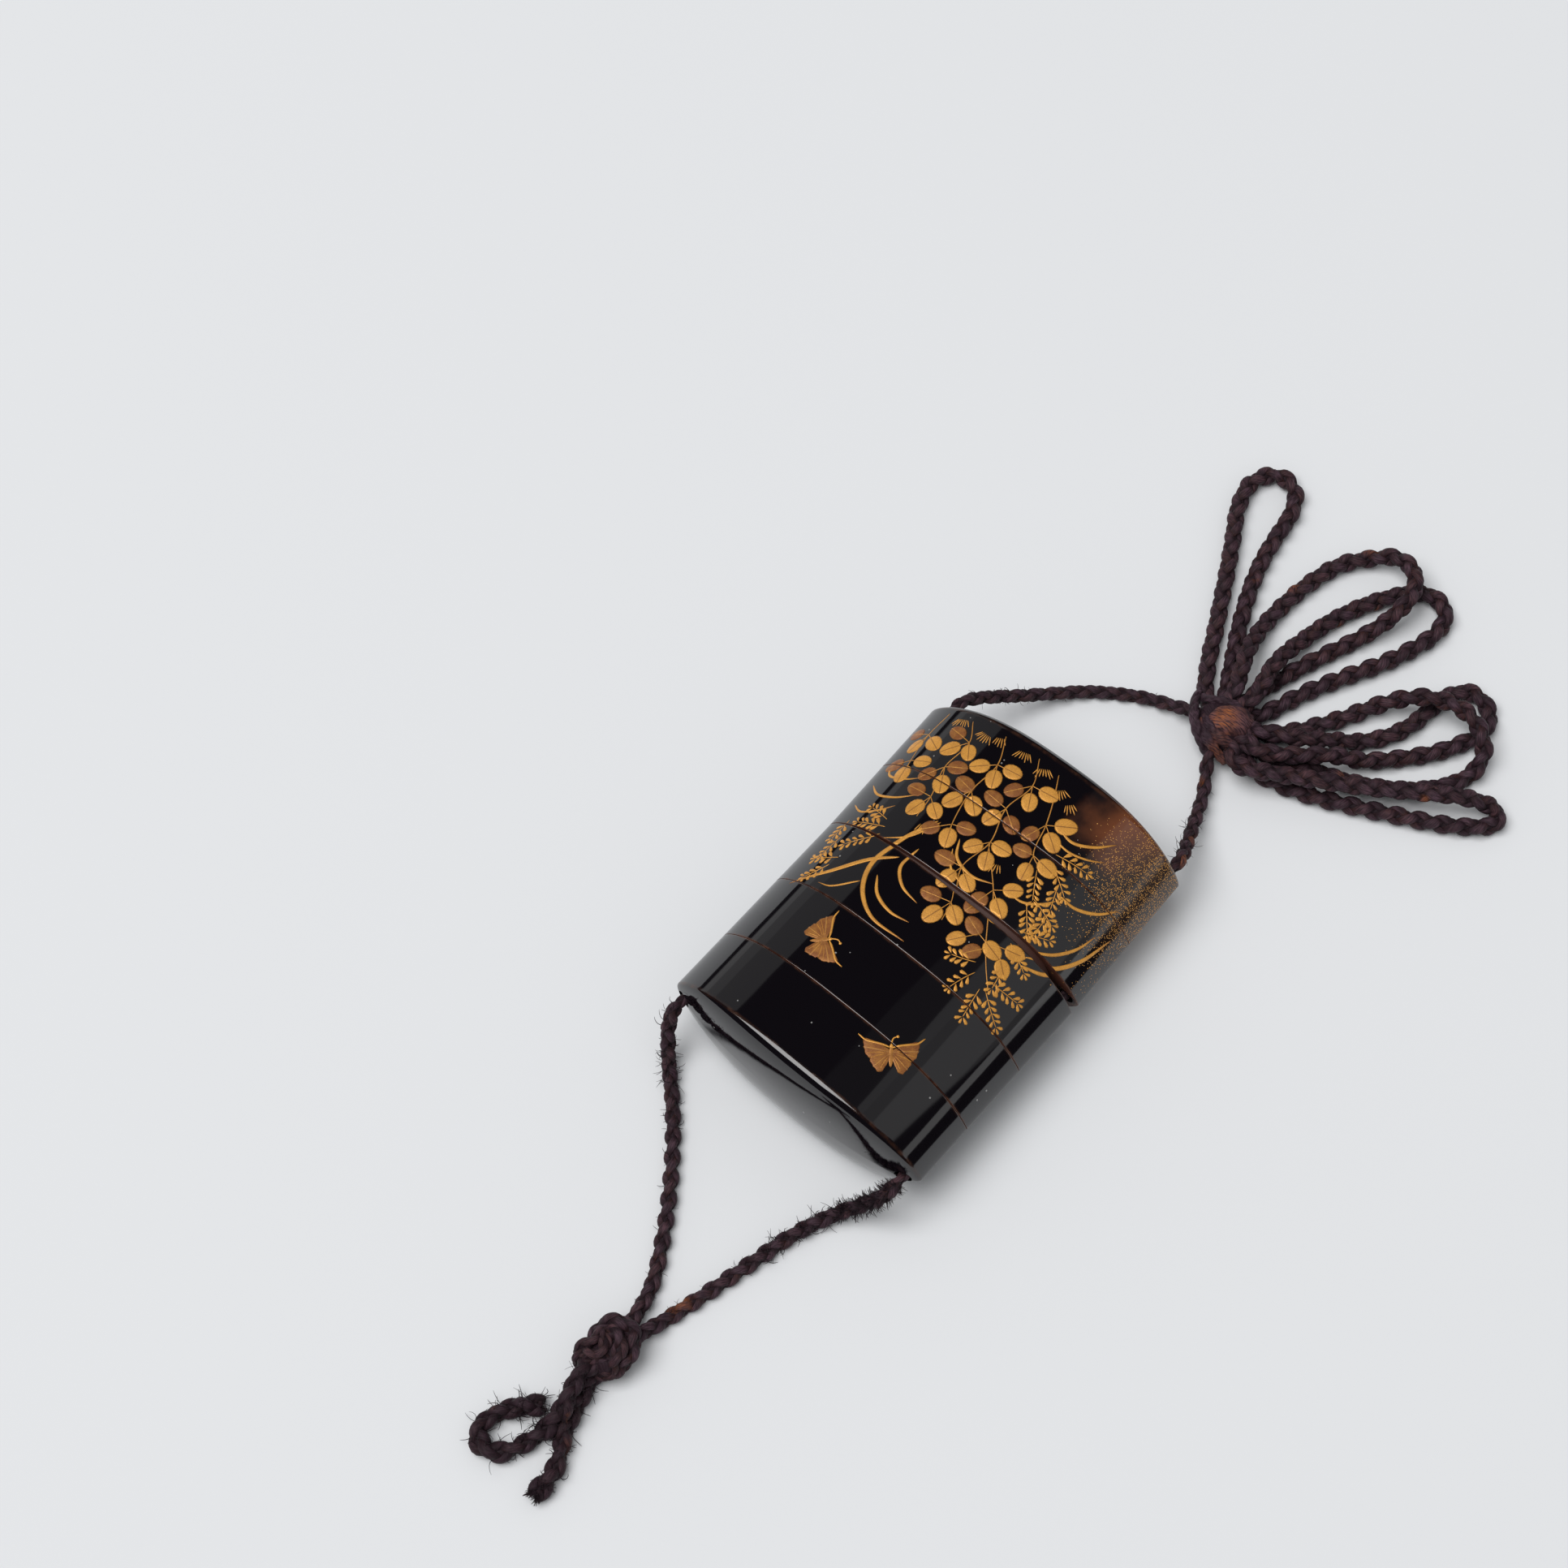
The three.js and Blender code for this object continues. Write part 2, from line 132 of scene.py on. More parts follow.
BOW_LOOPS = {
    "bow_loop_1": [
        (5.8, 80.4, 2.4), (1.4, 86.8, 2.05), (-2.3, 94, 2.05), (-5.9, 100.8, 2.05),
        (-9.5, 107.6, 2.05), (-13.2, 114.2, 2.05), (-16.6, 120.3, 2.05), (-18, 127, 2.05),
        (-15, 131.6, 2.05), (-10.2, 131, 2.05), (-7.4, 126.3, 2.05), (-6.4, 120.6, 2.05),
        (-5.2, 114, 2.05), (-3.2, 107.4, 2.05), (-0.8, 101.5, 2.05), (1.8, 96, 2.05),
        (5, 90, 2.05), (8.2, 84, 2.3),
    ],
    "bow_loop_2": [
        (9.9, 84.3, 6.6), (6.9, 91.5, 6.3), (4.8, 99.5, 3), (4.6, 107.6, 2.05),
        (5.6, 115.6, 2.05), (7.8, 123.1, 2.05), (11.8, 128, 2.6), (16, 130.3, 4.6),
        (20.6, 129, 6.4), (23.5, 125.6, 6.4), (24, 121, 6), (22.8, 116.3, 3.6),
        (20.7, 111, 2.05), (18, 104, 2.05), (15.2, 96, 2.05), (12.3, 85, 2.1),
    ],
    "bow_loop_3": [
        (14, 84.9, 6.6), (12.7, 92, 6.4), (12.4, 97, 5.2), (12.7, 103, 3),
        (14.2, 111, 2.05), (17.2, 118.6, 2.05), (20.5, 124.2, 2.05), (23.4, 127.8, 2.05),
        (27.5, 129.2, 2.05), (31, 127.2, 2.05), (31.9, 122.9, 2.05), (30.4, 116.4, 2.05),
        (28, 110.2, 2.05), (24, 102.4, 2.05), (20.2, 94.4, 2.05), (16.5, 84.2, 2.1),
    ],
    "bow_loop_4": [
        (19.9, 81.6, 2.1), (23.8, 86, 2.05), (27, 90.8, 2.05), (29.8, 95.6, 2.05),
        (32.4, 100.3, 2.6), (35.7, 104, 4.6), (39.5, 106.8, 6.4), (43.3, 108.9, 6.4),
        (48, 109.6, 6.4), (52.5, 108, 6.4), (55.6, 105.4, 4.8), (56.2, 101.2, 2.6),
        (54.2, 96.6, 2.05), (50, 91.5, 2.05), (43.9, 86.9, 2.05), (37, 83.3, 2.05),
        (29.2, 80.6, 2.05), (21.9, 77.9, 2.1),
    ],
    "bow_loop_5": [
        (21, 80.1, 6.6), (26, 83, 6.4), (30.8, 87.8, 4.4), (35.2, 92.8, 2.05),
        (38.7, 97.6, 2.05), (40.6, 102.6, 2.05), (41.3, 107.6, 2.05), (42.4, 112.6, 2.05),
        (44.9, 116, 2.05), (48.6, 116.1, 2.05), (51.6, 113.7, 2.05), (52.3, 110.1, 2.05),
        (50.8, 106, 2.05), (47.7, 100.3, 2.05), (42.8, 94.3, 2.05), (38.3, 89.1, 3.2),
        (33.4, 84.3, 6.4), (28.3, 79.8, 6.4), (22.3, 75.9, 6.6),
    ],
    "bow_loop_6": [
        (20.9, 70.6, 6.4), (27.8, 74, 6.4), (34.2, 77.8, 6.4), (40.8, 81.8, 6.4),
        (47, 86, 6.4), (53, 90.2, 6.4), (58, 93.8, 6), (61.6, 96.4, 4.2),
        (64.6, 97.7, 2.5), (66, 95.5, 2.05), (62.6, 91.6, 2.05), (56.8, 87.7, 2.05),
        (49.9, 84, 2.05), (42.9, 80.4, 2.05), (35.7, 77, 2.05), (29, 74.7, 2.05),
        (21.4, 73.7, 2.2),
    ],
}


# ---- Knots: the same places as in the CAD model ------------------------------------------------
# Each knot is a core of cord with turns drawn over it: a turn's width, how much of its colour has
# worn off, and its points.
BOW_KNOT = {
    "core": (12.7, 76.4, 4.3),
    "core_size": (5.4, 5.6, 3.9),
    "turns": (
        (
            2.5, 0.0, (4, 80.8, 3), (5.3, 76.9, 5.2), (7.6, 73.5, 6.3), (9.8, 71.5, 6.3),
            (12, 70.3, 5), (13.9, 69.9, 2.6),
        ),
        (2.4, 0.25, (8.9, 74.9, 6.2), (11.4, 73.1, 7.4), (14, 72.4, 7.3), (16.3, 73, 6.4), (18, 74.7, 4.2)),
        (
            2.3, 0.5, (8.6, 74.3, 5.6), (11.2, 71.9, 6.8), (13.8, 70.9, 6.2), (16.1, 70.7, 4.6),
            (17.7, 71, 2.4),
        ),
        (
            2.6, 0.1, (15.7, 79.3, 6.6), (17.6, 78.2, 6.1), (18.6, 75.9, 5.4), (18.4, 73.7, 4.4),
            (17.4, 71.8, 2.8),
        ),
        (2.6, 0.0, (4.6, 79.2, 3.2), (7.5, 78.9, 5.6), (10, 79.8, 6.5), (12.8, 80.9, 6.5), (15.1, 81.6, 4.8)),
    ),
}
END_KNOT = {
    "core": (7.2, -98.2, 3.9),
    "core_size": (4.1, 5.3, 3.6),
    "turns": (
        (
            2.9, 0.0, (3.4, -99.6, 3), (3, -97.2, 5.2), (4, -94.9, 6.6), (5.9, -93.6, 7), (8.1, -93.6, 6.8),
            (9.9, -95, 6.4), (10.8, -97.3, 5.6), (10.8, -99.7, 4.4), (9.7, -101.8, 2.4),
        ),
        (
            2.7, 0.08, (4.3, -96.4, 5.6), (6, -96, 7.3), (8, -96.3, 7.7), (9.2, -98.1, 7.4),
            (9.8, -100, 6), (9.7, -101.8, 3.8),
        ),
        (
            2.5, 0.0, (4.6, -95.6, 6), (4.4, -97.9, 6.9), (3.8, -100.1, 6.5), (3.1, -101.9, 5.2),
            (3.3, -103.2, 3.6), (4.6, -103.8, 1.8),
        ),
        (
            2.3, 0.0, (2.6, -102.4, 3.6), (4.3, -101.9, 5.8), (6.2, -101.3, 6.8), (7.7, -100.4, 6.6),
            (9, -99.7, 5),
        ),
        (
            2.4, 0.05, (4.4, -97.4, 6.8), (6.3, -98.6, 7.6), (6.8, -100.4, 7.1), (5.8, -102.2, 6),
            (4.4, -103.4, 4),
        ),
        (2.5, 0.1, (5.2, -102.2, 1.9), (7.8, -102.8, 3.4), (9.7, -102.1, 4), (10.4, -100, 3.8)),
    ),
}
KNOT_CAP = {
    "centre": (13.9, 77.0, 6.5), "size": (4.6, 3.5, 3.0), "heading": 38, "patch": (12.9, 76.0, 9.2),
}


# ---- Settings ----------------------------------------------------------------------------------
def colour(name, description, value):
    """A colour setting, as linear red, green and blue."""
    return bpy.props.FloatVectorProperty(
        name=name, description=description, default=value, size=3, subtype="COLOR", min=0, max=1
    )


def number(name, description, value, unit="NONE"):
    """A setting that is one number."""
    return bpy.props.FloatProperty(name=name, description=description, default=value, unit=unit, min=0)


def length(name, description, millimetres):
    """A length setting, in metres."""
    return number(name, description, millimetres * MM, "LENGTH")


class INRO_PG_case(bpy.types.PropertyGroup):
    """Finish of the lacquered case and its decoration."""

    lacquer: colour("Lacquer", "Black of the lacquer", (0.0035, 0.0025, 0.004))
    worn: colour("Worn edge", "Brown that shows where the lacquer is rubbed", (0.14, 0.05, 0.02))
    inside: colour("Inside", "Lacquer inside the compartments", (0.06, 0.014, 0.006))
    gold: colour("Gold", "Sprinkled gold of leaves and lines", (0.8, 0.37, 0.062))
    copper: colour("Copper", "Coppery brown of the darker leaves", (0.28, 0.094, 0.024))
    rust: colour("Rust", "Reddish ground beside the lid's rim", (0.2, 0.062, 0.024))
    cloud: colour("Cloud", "Brown-gold ground below the densest powder", (0.06, 0.022, 0.004))
    relief: length("Relief", "Height of the gold above the lacquer", 0.06)
    leaf_length: length("Leaf", "Length of a leaf", 4.4)


class INRO_PG_cord(bpy.types.PropertyGroup):
    """Sizes and colours of the braided cord."""

    strand: length("Cord", "Diameter of the cord through the case", 2.7)
    tail: length("Tail", "Diameter of the worn cord ends", 3.6)
    loop: length("Bow braid", "Diameter of the bow's braid", 3.7)
    silk: colour("Silk", "Purple-brown of the braid", (0.018, 0.0085, 0.0125))
    # Painted highlight: this paler colour stands mostly for light on the strands' crests and the knots'
    # turns, and partly for rubbed silk.
    paleness_and_highlight: colour("Crown", "Silk where it is rubbed paler", (0.103, 0.056, 0.078))
    faded: colour("Faded", "Orange-brown of the worn patches", (0.33, 0.1, 0.026))


class INRO_PG_stage(bpy.types.PropertyGroup):
    """Floor, camera and lights."""

    floor: colour("Floor", "Pale table top", (0.79, 0.8, 0.815))
    lens: number("Lens", "Focal length", 78.26, "CAMERA")
    key: number("Key light", "Power of the key light", 325.0, "POWER")
    fill: number("Fill", "Strength of the room's light", 0.345)


# ---- Curves and meshes -------------------------------------------------------------------------
CURVE_POINTS = 17  # points along each piece of a curve, before it is spaced evenly
RIGHTING = 0.05  # how much a path's normal is drawn back to upright at each point
TABLE_GAP = 0.03  # the cord stays this far above the table
UP = np.array((0.0, 0.0, 1.0))


def run_length(path):
    """Distance along a path at each of its points."""
    return np.concatenate(([0], np.cumsum(np.linalg.norm(np.diff(path, axis=0), axis=1))))


def smooth_path(points, step):
    """Evenly spaced points on the centripetal curve through a route."""
    route = [Vector(p) for p in points]
    nodes = [2 * route[0] - route[1], *route, 2 * route[-1] - route[-2]]
    fine = []
    for before, start, end, after in zip(nodes, nodes[1:], nodes[2:], nodes[3:]):
        lead, span, trail = (math.sqrt(v.length) for v in (start - before, end - start, after - end))
        leaving = (start - before) / lead - (end - before) / (lead + span) + (end - start) / span
        arriving = (end - start) / span - (after - start) / (span + trail) + (after - end) / trail
        handles = (start + leaving * span / 3, end - arriving * span / 3)
        fine.extend(interpolate_bezier(start, *handles, end, CURVE_POINTS)[:-1])
    fine.append(route[-1])
    line = np.array(fine)
    run = run_length(line)
    even = np.linspace(0, run[-1], max(2, round(run[-1] / step) + 1))
    return np.stack([np.interp(even, run, line[:, axis]) for axis in range(3)], axis=1)


def unit(vectors):
    """Rows of vectors, each scaled to a length of 1."""
    return vectors / np.linalg.norm(vectors, axis=1, keepdims=True)


def square_to(tangents, vectors):
    """The unit directions of vectors, turned square to a line's tangents."""
    return unit(vectors - tangents * np.sum(vectors * tangents, axis=1, keepdims=True))


def path_frames(path, centre=None):
    """Tangents, normals and binormals of a path.

    The normals point away from a centre, or start near upright and are carried along without twist.
    """
    tangents = unit(np.gradient(path, axis=0))
    if centre is None:
        normals = np.zeros_like(path)
        normal = UP
        for i, tangent in enumerate(tangents):
            normal = normal + RIGHTING * UP
            normal = normal - tangent * (normal @ tangent)
            normal /= np.linalg.norm(normal)
            normals[i] = normal
    else:
        normals = square_to(tangents, path - np.array(centre))
    return tangents, normals, np.cross(tangents, normals)


def tube_rings(path, up, across, high, wide, sides):
    """Rings round a line; high and wide are half sizes, as a column of numbers or one column a side."""
    angles = np.linspace(0, 2 * np.pi, sides, endpoint=False)
    return (
        path[:, None, :]
        + up[:, None, :] * np.atleast_2d(np.cos(angles) * high)[:, :, None]
        + across[:, None, :] * np.atleast_2d(np.sin(angles) * wide)[:, :, None]
    )


def above_table(rings, gap=TABLE_GAP):
    """Rings of points, kept a little above the table."""
    rings[:, :, 2] = np.maximum(rings[:, :, 2], gap)
    return rings


def point_layer(bm, name):
    """A named number for each point of a mesh, added by its first user."""
    return bm.verts.layers.float.get(name) or bm.verts.layers.float.new(name)


def sweep(bm, rings, values):
    """Adds a tube through rings of points, with its seam closed; its UVs run round and along.

    rings is an array of stations by sides by 3, and values gives one number a station for each
    named point attribute.
    """
    stations, sides, _ = rings.shape
    layers = {name: point_layer(bm, name) for name in values}
    uv = bm.loops.layers.uv.verify()
    made = bmesh.ops.create_grid(bm, x_segments=sides, y_segments=stations - 1, size=1, calc_uvs=True)
    runs = run_length(rings.mean(axis=1))
    for vert in made["verts"]:
        column = round((vert.co.x + 1) / 2 * sides)
        row = round((vert.co.y + 1) / 2 * (stations - 1))
        for loop in vert.link_loops:
            loop[uv].uv = (column / sides, runs[row])
        vert.co = rings[row, column % sides]
        for name, layer in layers.items():
            vert[layer] = values[name][row]
    bmesh.ops.remove_doubles(bm, verts=made["verts"], dist=1e-5)


def close_up(bm):
    """Closes the open ends and points every face outwards."""
    rims = [edge for edge in bm.edges if edge.is_boundary]
    if rims:
        bmesh.ops.holes_fill(bm, edges=rims, sides=0)
    bmesh.ops.recalc_face_normals(bm, faces=bm.faces)


def to_mesh(bm, name):
    """A mesh in metres from a bmesh in millimetres, which ends here."""
    bmesh.ops.scale(bm, vec=(MM, MM, MM), verts=bm.verts)
    mesh = bpy.data.meshes.new(name)
    bm.to_mesh(mesh)
    bm.free()
    return mesh


def new_object(name, data):
    """A new object in the scene."""
    made = bpy.data.objects.new(name, data)
    bpy.context.scene.collection.objects.link(made)
    return made


def to_object(bm, name, material):
    """A finished piece of the part, smooth, from a bmesh in millimetres."""
    mesh = to_mesh(bm, name)
    mesh.polygons.foreach_set("use_smooth", [True] * len(mesh.polygons))
    mesh.materials.append(material)
    made = new_object(name, mesh)
    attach(made, "root")
    return made


# ---- Node helpers ------------------------------------------------------------------------------
def feed(tree, node, inputs):
    """Gives a node's inputs, by name or number, a socket each or a value."""
    for name, source in inputs.items():
        if isinstance(source, bpy.types.NodeSocket):
            tree.links.new(source, node.inputs[name])
        else:
            node.inputs[name].default_value = source


def add_node(tree, kind, inputs=None, **settings):
    """Adds a node with its settings and its inputs."""
    made = tree.nodes.new(kind)
    for name, value in settings.items():
        setattr(made, name, value)
    feed(tree, made, inputs or {})
    return made


def mix_colour(tree, mask, under, over):
    """A colour mix: under and over are sockets or colours."""
    under, over = (c if isinstance(c, bpy.types.NodeSocket) else (*c, 1) for c in (under, over))
    return add_node(tree, "ShaderNodeMix", {0: mask, 6: under, 7: over}, data_type="RGBA").outputs[2]


def mix_value(tree, mask, under, over):
    """A mix of two numbers, or of a socket with a number."""
    return add_node(tree, "ShaderNodeMix", {0: mask, 2: under, 3: over}, data_type="FLOAT").outputs[0]


def maths(tree, operation, first, second=0.0, clamp=False):
    """A Math node on sockets or numbers."""
    made = add_node(tree, "ShaderNodeMath", {0: first, 1: second}, operation=operation, use_clamp=clamp)
    return made.outputs[0]


def times(tree, first, second, clamp=False):
    """A product of sockets or numbers."""
    return maths(tree, "MULTIPLY", first, second, clamp)


def plus(tree, first, second, clamp=False):
    """A sum of sockets or numbers."""
    return maths(tree, "ADD", first, second, clamp)


def most(tree, first, second, clamp=False):
    """The greater of two sockets."""
    return maths(tree, "MAXIMUM", first, second, clamp)


def vector_maths(tree, operation, first, second=(0, 0, 0), output="Vector"):
    """A Vector Math node on sockets or vectors."""
    made = add_node(tree, "ShaderNodeVectorMath", {0: first, 1: second}, operation=operation)
    return made.outputs[output]


def remap(tree, value, low, high, to_low=0.0, to_high=1.0):
    """A smooth step of a value from one range to another."""
    inputs = {"Value": value, "From Min": low, "From Max": high, "To Min": to_low, "To Max": to_high}
    return add_node(tree, "ShaderNodeMapRange", inputs, interpolation_type="SMOOTHSTEP").outputs[0]


def noise_at(tree, place, scale, detail):
    """Noise between 0 and 1."""
    made = add_node(tree, "ShaderNodeTexNoise", {"Vector": place, "Scale": scale, "Detail": detail})
    return made.outputs["Fac"]


def stretched(tree, place, scale, turn=0.0):
    """A place turned about Z and scaled on each axis."""
    inputs = {"Vector": place, "Rotation": (0.0, 0.0, turn), "Scale": scale}
    return add_node(tree, "ShaderNodeMapping", inputs).outputs[0]


def new_group(name, output, **inputs):
    """An empty node group on a vector and named numbers, which puts out one number."""
    group = bpy.data.node_groups.new(name, "ShaderNodeTree")
    group.interface.new_socket("Vector", in_out="INPUT", socket_type="NodeSocketVector")
    for label, value in inputs.items():
        made = group.interface.new_socket(label, in_out="INPUT", socket_type="NodeSocketFloat")
        made.default_value = value
    group.interface.new_socket(output, in_out="OUTPUT", socket_type="NodeSocketFloat")
    return group, group.nodes.new("NodeGroupInput").outputs, group.nodes.new("NodeGroupOutput")


def use_group(tree, build, **inputs):
    """Places the node group that a function builds for its first user, and gives its output."""
    group = bpy.data.node_groups.get(build.__name__) or build(build.__name__)
    return add_node(tree, "ShaderNodeGroup", inputs, node_tree=group).outputs[0]


def scattered_specks(name):
    """Small scattered specks: cells of a Voronoi pattern, kept where a random value is low."""
    group, given, out = new_group(name, "Mask", Cells=3000.0, Size=0.3, Share=0.2)
    cells = add_node(group, "ShaderNodeTexVoronoi", {"Vector": given["Vector"], "Scale": given["Cells"]})
    near = maths(group, "LESS_THAN", cells.outputs["Distance"], given["Size"])
    lot = add_node(group, "ShaderNodeSeparateColor", {"Color": cells.outputs["Color"]})
    kept = maths(group, "LESS_THAN", lot.outputs[0], given["Share"])
    feed(group, out, {"Mask": times(group, near, kept)})
    return group


def soft_patches(name):
    """Soft irregular patches from noise."""
    group, given, out = new_group(name, "Mask", Scale=100.0, Low=0.5, High=0.65)
    level = noise_at(group, given["Vector"], given["Scale"], 4.0)
    feed(group, out, {"Mask": remap(group, level, given["Low"], given["High"])})
    return group


def silk_fibres(name):
    """Fine silk fibres along a strand, on UVs that run round it and, in millimetres, along it."""
    group, given, out = new_group(name, "Lines", Round=26.0, Along=0.7)
    apart = add_node(group, "ShaderNodeSeparateXYZ", {"Vector": given["Vector"]})
    lean = times(group, apart.outputs["Y"], 0.07)
    around = times(group, plus(group, apart.outputs["X"], lean), given["Round"])
    along = times(group, apart.outputs["Y"], given["Along"])
    joined = add_node(group, "ShaderNodeCombineXYZ", {"X": around, "Y": along})
    feed(group, out, {"Lines": noise_at(group, joined.outputs[0], 1.0, 3.0)})
    return group


def new_material(name):
    """A material with an empty tree, its Principled shader and its output."""
    material = bpy.data.materials.new(name)
    material.use_nodes = True
    tree = material.node_tree
    tree.nodes.clear()
    shader = add_node(tree, "ShaderNodeBsdfPrincipled")
    add_node(tree, "ShaderNodeOutputMaterial", {"Surface": shader.outputs["BSDF"]})
    return material, tree, shader


def coordinates(tree, kind):
    """The shaded point's Object coordinates or its UV."""
    return add_node(tree, "ShaderNodeTexCoord").outputs[kind]


def attribute(tree, name):
    """A point attribute's value."""
    return add_node(tree, "ShaderNodeAttribute", attribute_name=name).outputs["Fac"]


def bump(tree, height, strength, distance):
    """The normal of a surface with a height over it."""
    inputs = {"Height": height, "Strength": strength, "Distance": distance}
    return add_node(tree, "ShaderNodeBump", inputs).outputs["Normal"]


# ---- Materials ---------------------------------------------------------------------------------
CLOUD_CORNER = (31, 36, 0)  # the densest gold powder, from the middle of the case
CLOUD_SHAPE = (1.25, 0.85, 0.2)  # how fast the powder thins out along each axis
CLOUD_REACH = (0.028, 0.004)  # distances in metres from where the powder starts to where it is full
DENSE_REACH = (0.022, 0.003)
RUST_PLACE = (16.5, 39.5, 10)  # the rust-red ground beside the lid's rim
RUST_REACH = (0.0115, 0.002)
RAGGEDNESS = 0.016  # how far the edges of both wander, in metres, times noise about nought
LACQUER_ROUGHNESS = (0.06, 0.55)  # where it is polished, and where it is worn or powdered
DUST_COLOUR = (0.42, 0.41, 0.4)
RIB_ON_GOLD = (0.23, 0.085, 0.02)
RIB_ON_COPPER = (0.5, 0.24, 0.07)


def powder(tree, place, cloud, power, density, cells, size):
    """Grains of gold powder, which thin out with the cloud."""
    share = times(tree, maths(tree, "POWER", cloud, power), density)
    return use_group(tree, scattered_specks, Vector=place, Share=share, Cells=cells, Size=size)


def lacquer_material(name, settings):
    """Black lacquer with worn brown edges, gold powder at the lid's right corner, dust and scratches."""
    material, tree, shader = new_material(name)
    place = coordinates(tree, "Object")
    inner = attribute(tree, "inner")

    # The gold cloud is thickest down the right side of the lid and thins out to the left.
    from_corner = vector_maths(tree, "SUBTRACT", place, (CASE_MIDDLE + Vector(CLOUD_CORNER)) * MM)
    flattened = vector_maths(tree, "MULTIPLY", from_corner, CLOUD_SHAPE)
    away = vector_maths(tree, "LENGTH", flattened, output="Value")
    ragged = noise_at(tree, place, 110.0, 4.0)
    wobble = times(tree, maths(tree, "SUBTRACT", ragged, 0.5), RAGGEDNESS)
    reach = plus(tree, away, wobble)
    cloud = remap(tree, reach, *CLOUD_REACH)
    dense = remap(tree, reach, *DENSE_REACH)
    fine = powder(tree, place, cloud, 1.4, 0.72, 4300.0, 0.36)
    coarse = powder(tree, place, cloud, 2.0, 0.3, 2600.0, 0.28)
    gilt = most(tree, fine, coarse)

    # Above the cloud, beside the lid's rim, the ground is rust red.
    rust_place = (CASE_MIDDLE + Vector(RUST_PLACE)) * MM
    from_rust = vector_maths(tree, "DISTANCE", place, rust_place, "Value")
    rusty = times(tree, remap(tree, plus(tree, from_rust, wobble), *RUST_REACH), 0.75)

    chipped = use_group(tree, soft_patches, Vector=place, Scale=520.0, Low=0.42, High=0.62)
    chips = plus(tree, times(tree, chipped, 0.8), 0.25)
    rubbed = times(tree, attribute(tree, "worn"), chips, True)
    dust = use_group(tree, scattered_specks, Vector=place, Cells=520.0, Size=0.1, Share=0.09)
    streak = stretched(tree, place, (1.0, 0.06, 1.0), 0.5)
    hairs = use_group(tree, scattered_specks, Vector=streak, Cells=800.0, Size=0.05, Share=0.05)
    marks = most(tree, dust, times(tree, hairs, 0.35))

    shade = settings.lacquer
    for mask, over in (
        (rusty, settings.rust), (times(tree, dense, 0.4), settings.cloud), (rubbed, settings.worn),
        (inner, settings.inside), (times(tree, gilt, 0.8), settings.gold),
        (times(tree, marks, 0.6), DUST_COLOUR),
    ):
        shade = mix_colour(tree, mask, shade, over)
    powdered = most(tree, gilt, times(tree, dense, 0.35))
    dull = most(tree, rubbed, most(tree, powdered, inner), True)
    brushed = noise_at(tree, stretched(tree, place, (1.0, 0.12, 1.0)), 260.0, 2.0)
    feed(tree, shader, {
        "Base Color": shade, "Roughness": mix_value(tree, dull, *LACQUER_ROUGHNESS), "IOR": 1.7,
        "Normal": bump(tree, brushed, 0.05, 0.0004),
    })
    return material


def gilt_material(name, settings, veined):
    """Sprinkled gold on lacquer, from copper to gold by each piece's tone, with a rib on a leaf."""
    material, tree, shader = new_material(name)
    place = coordinates(tree, "Object")
    tone = attribute(tree, "tone")
    cloudy = use_group(tree, soft_patches, Vector=place, Scale=600.0, Low=0.3, High=0.7)
    drift = times(tree, maths(tree, "SUBTRACT", cloudy, 0.5), 0.3)
    shade = mix_colour(tree, plus(tree, tone, drift, True), settings.copper, settings.gold)
    if veined:
        where = add_node(tree, "ShaderNodeSeparateXYZ", {"Vector": coordinates(tree, "UV")})
        side = maths(tree, "ABSOLUTE", maths(tree, "SUBTRACT", where.outputs["Y"], 0.5))
        rib = remap(tree, side, 0.04, 0.015)
        slant = maths(tree, "SUBTRACT", times(tree, where.outputs["X"], 7.0), times(tree, side, 6.0))
        wave = maths(tree, "ABSOLUTE", maths(tree, "SUBTRACT", maths(tree, "FRACT", slant), 0.5))
        lines = most(tree, rib, remap(tree, wave, 0.1, 0.02, 0.0, 0.3))
        drawn = mix_colour(tree, tone, RIB_ON_COPPER, RIB_ON_GOLD)
        shade = mix_colour(tree, times(tree, lines, 0.8), shade, drawn)
    grains = noise_at(tree, place, 9000.0, 1.0)
    sprinkle = remap(tree, grains, 0.35, 0.65, 0.78, 1.12)
    feed(tree, shader, {
        "Base Color": vector_maths(tree, "MULTIPLY", shade, sprinkle), "Metallic": 0.3,
        "Roughness": 0.38, "Normal": bump(tree, grains, 0.25, 0.00003),
    })
    return material


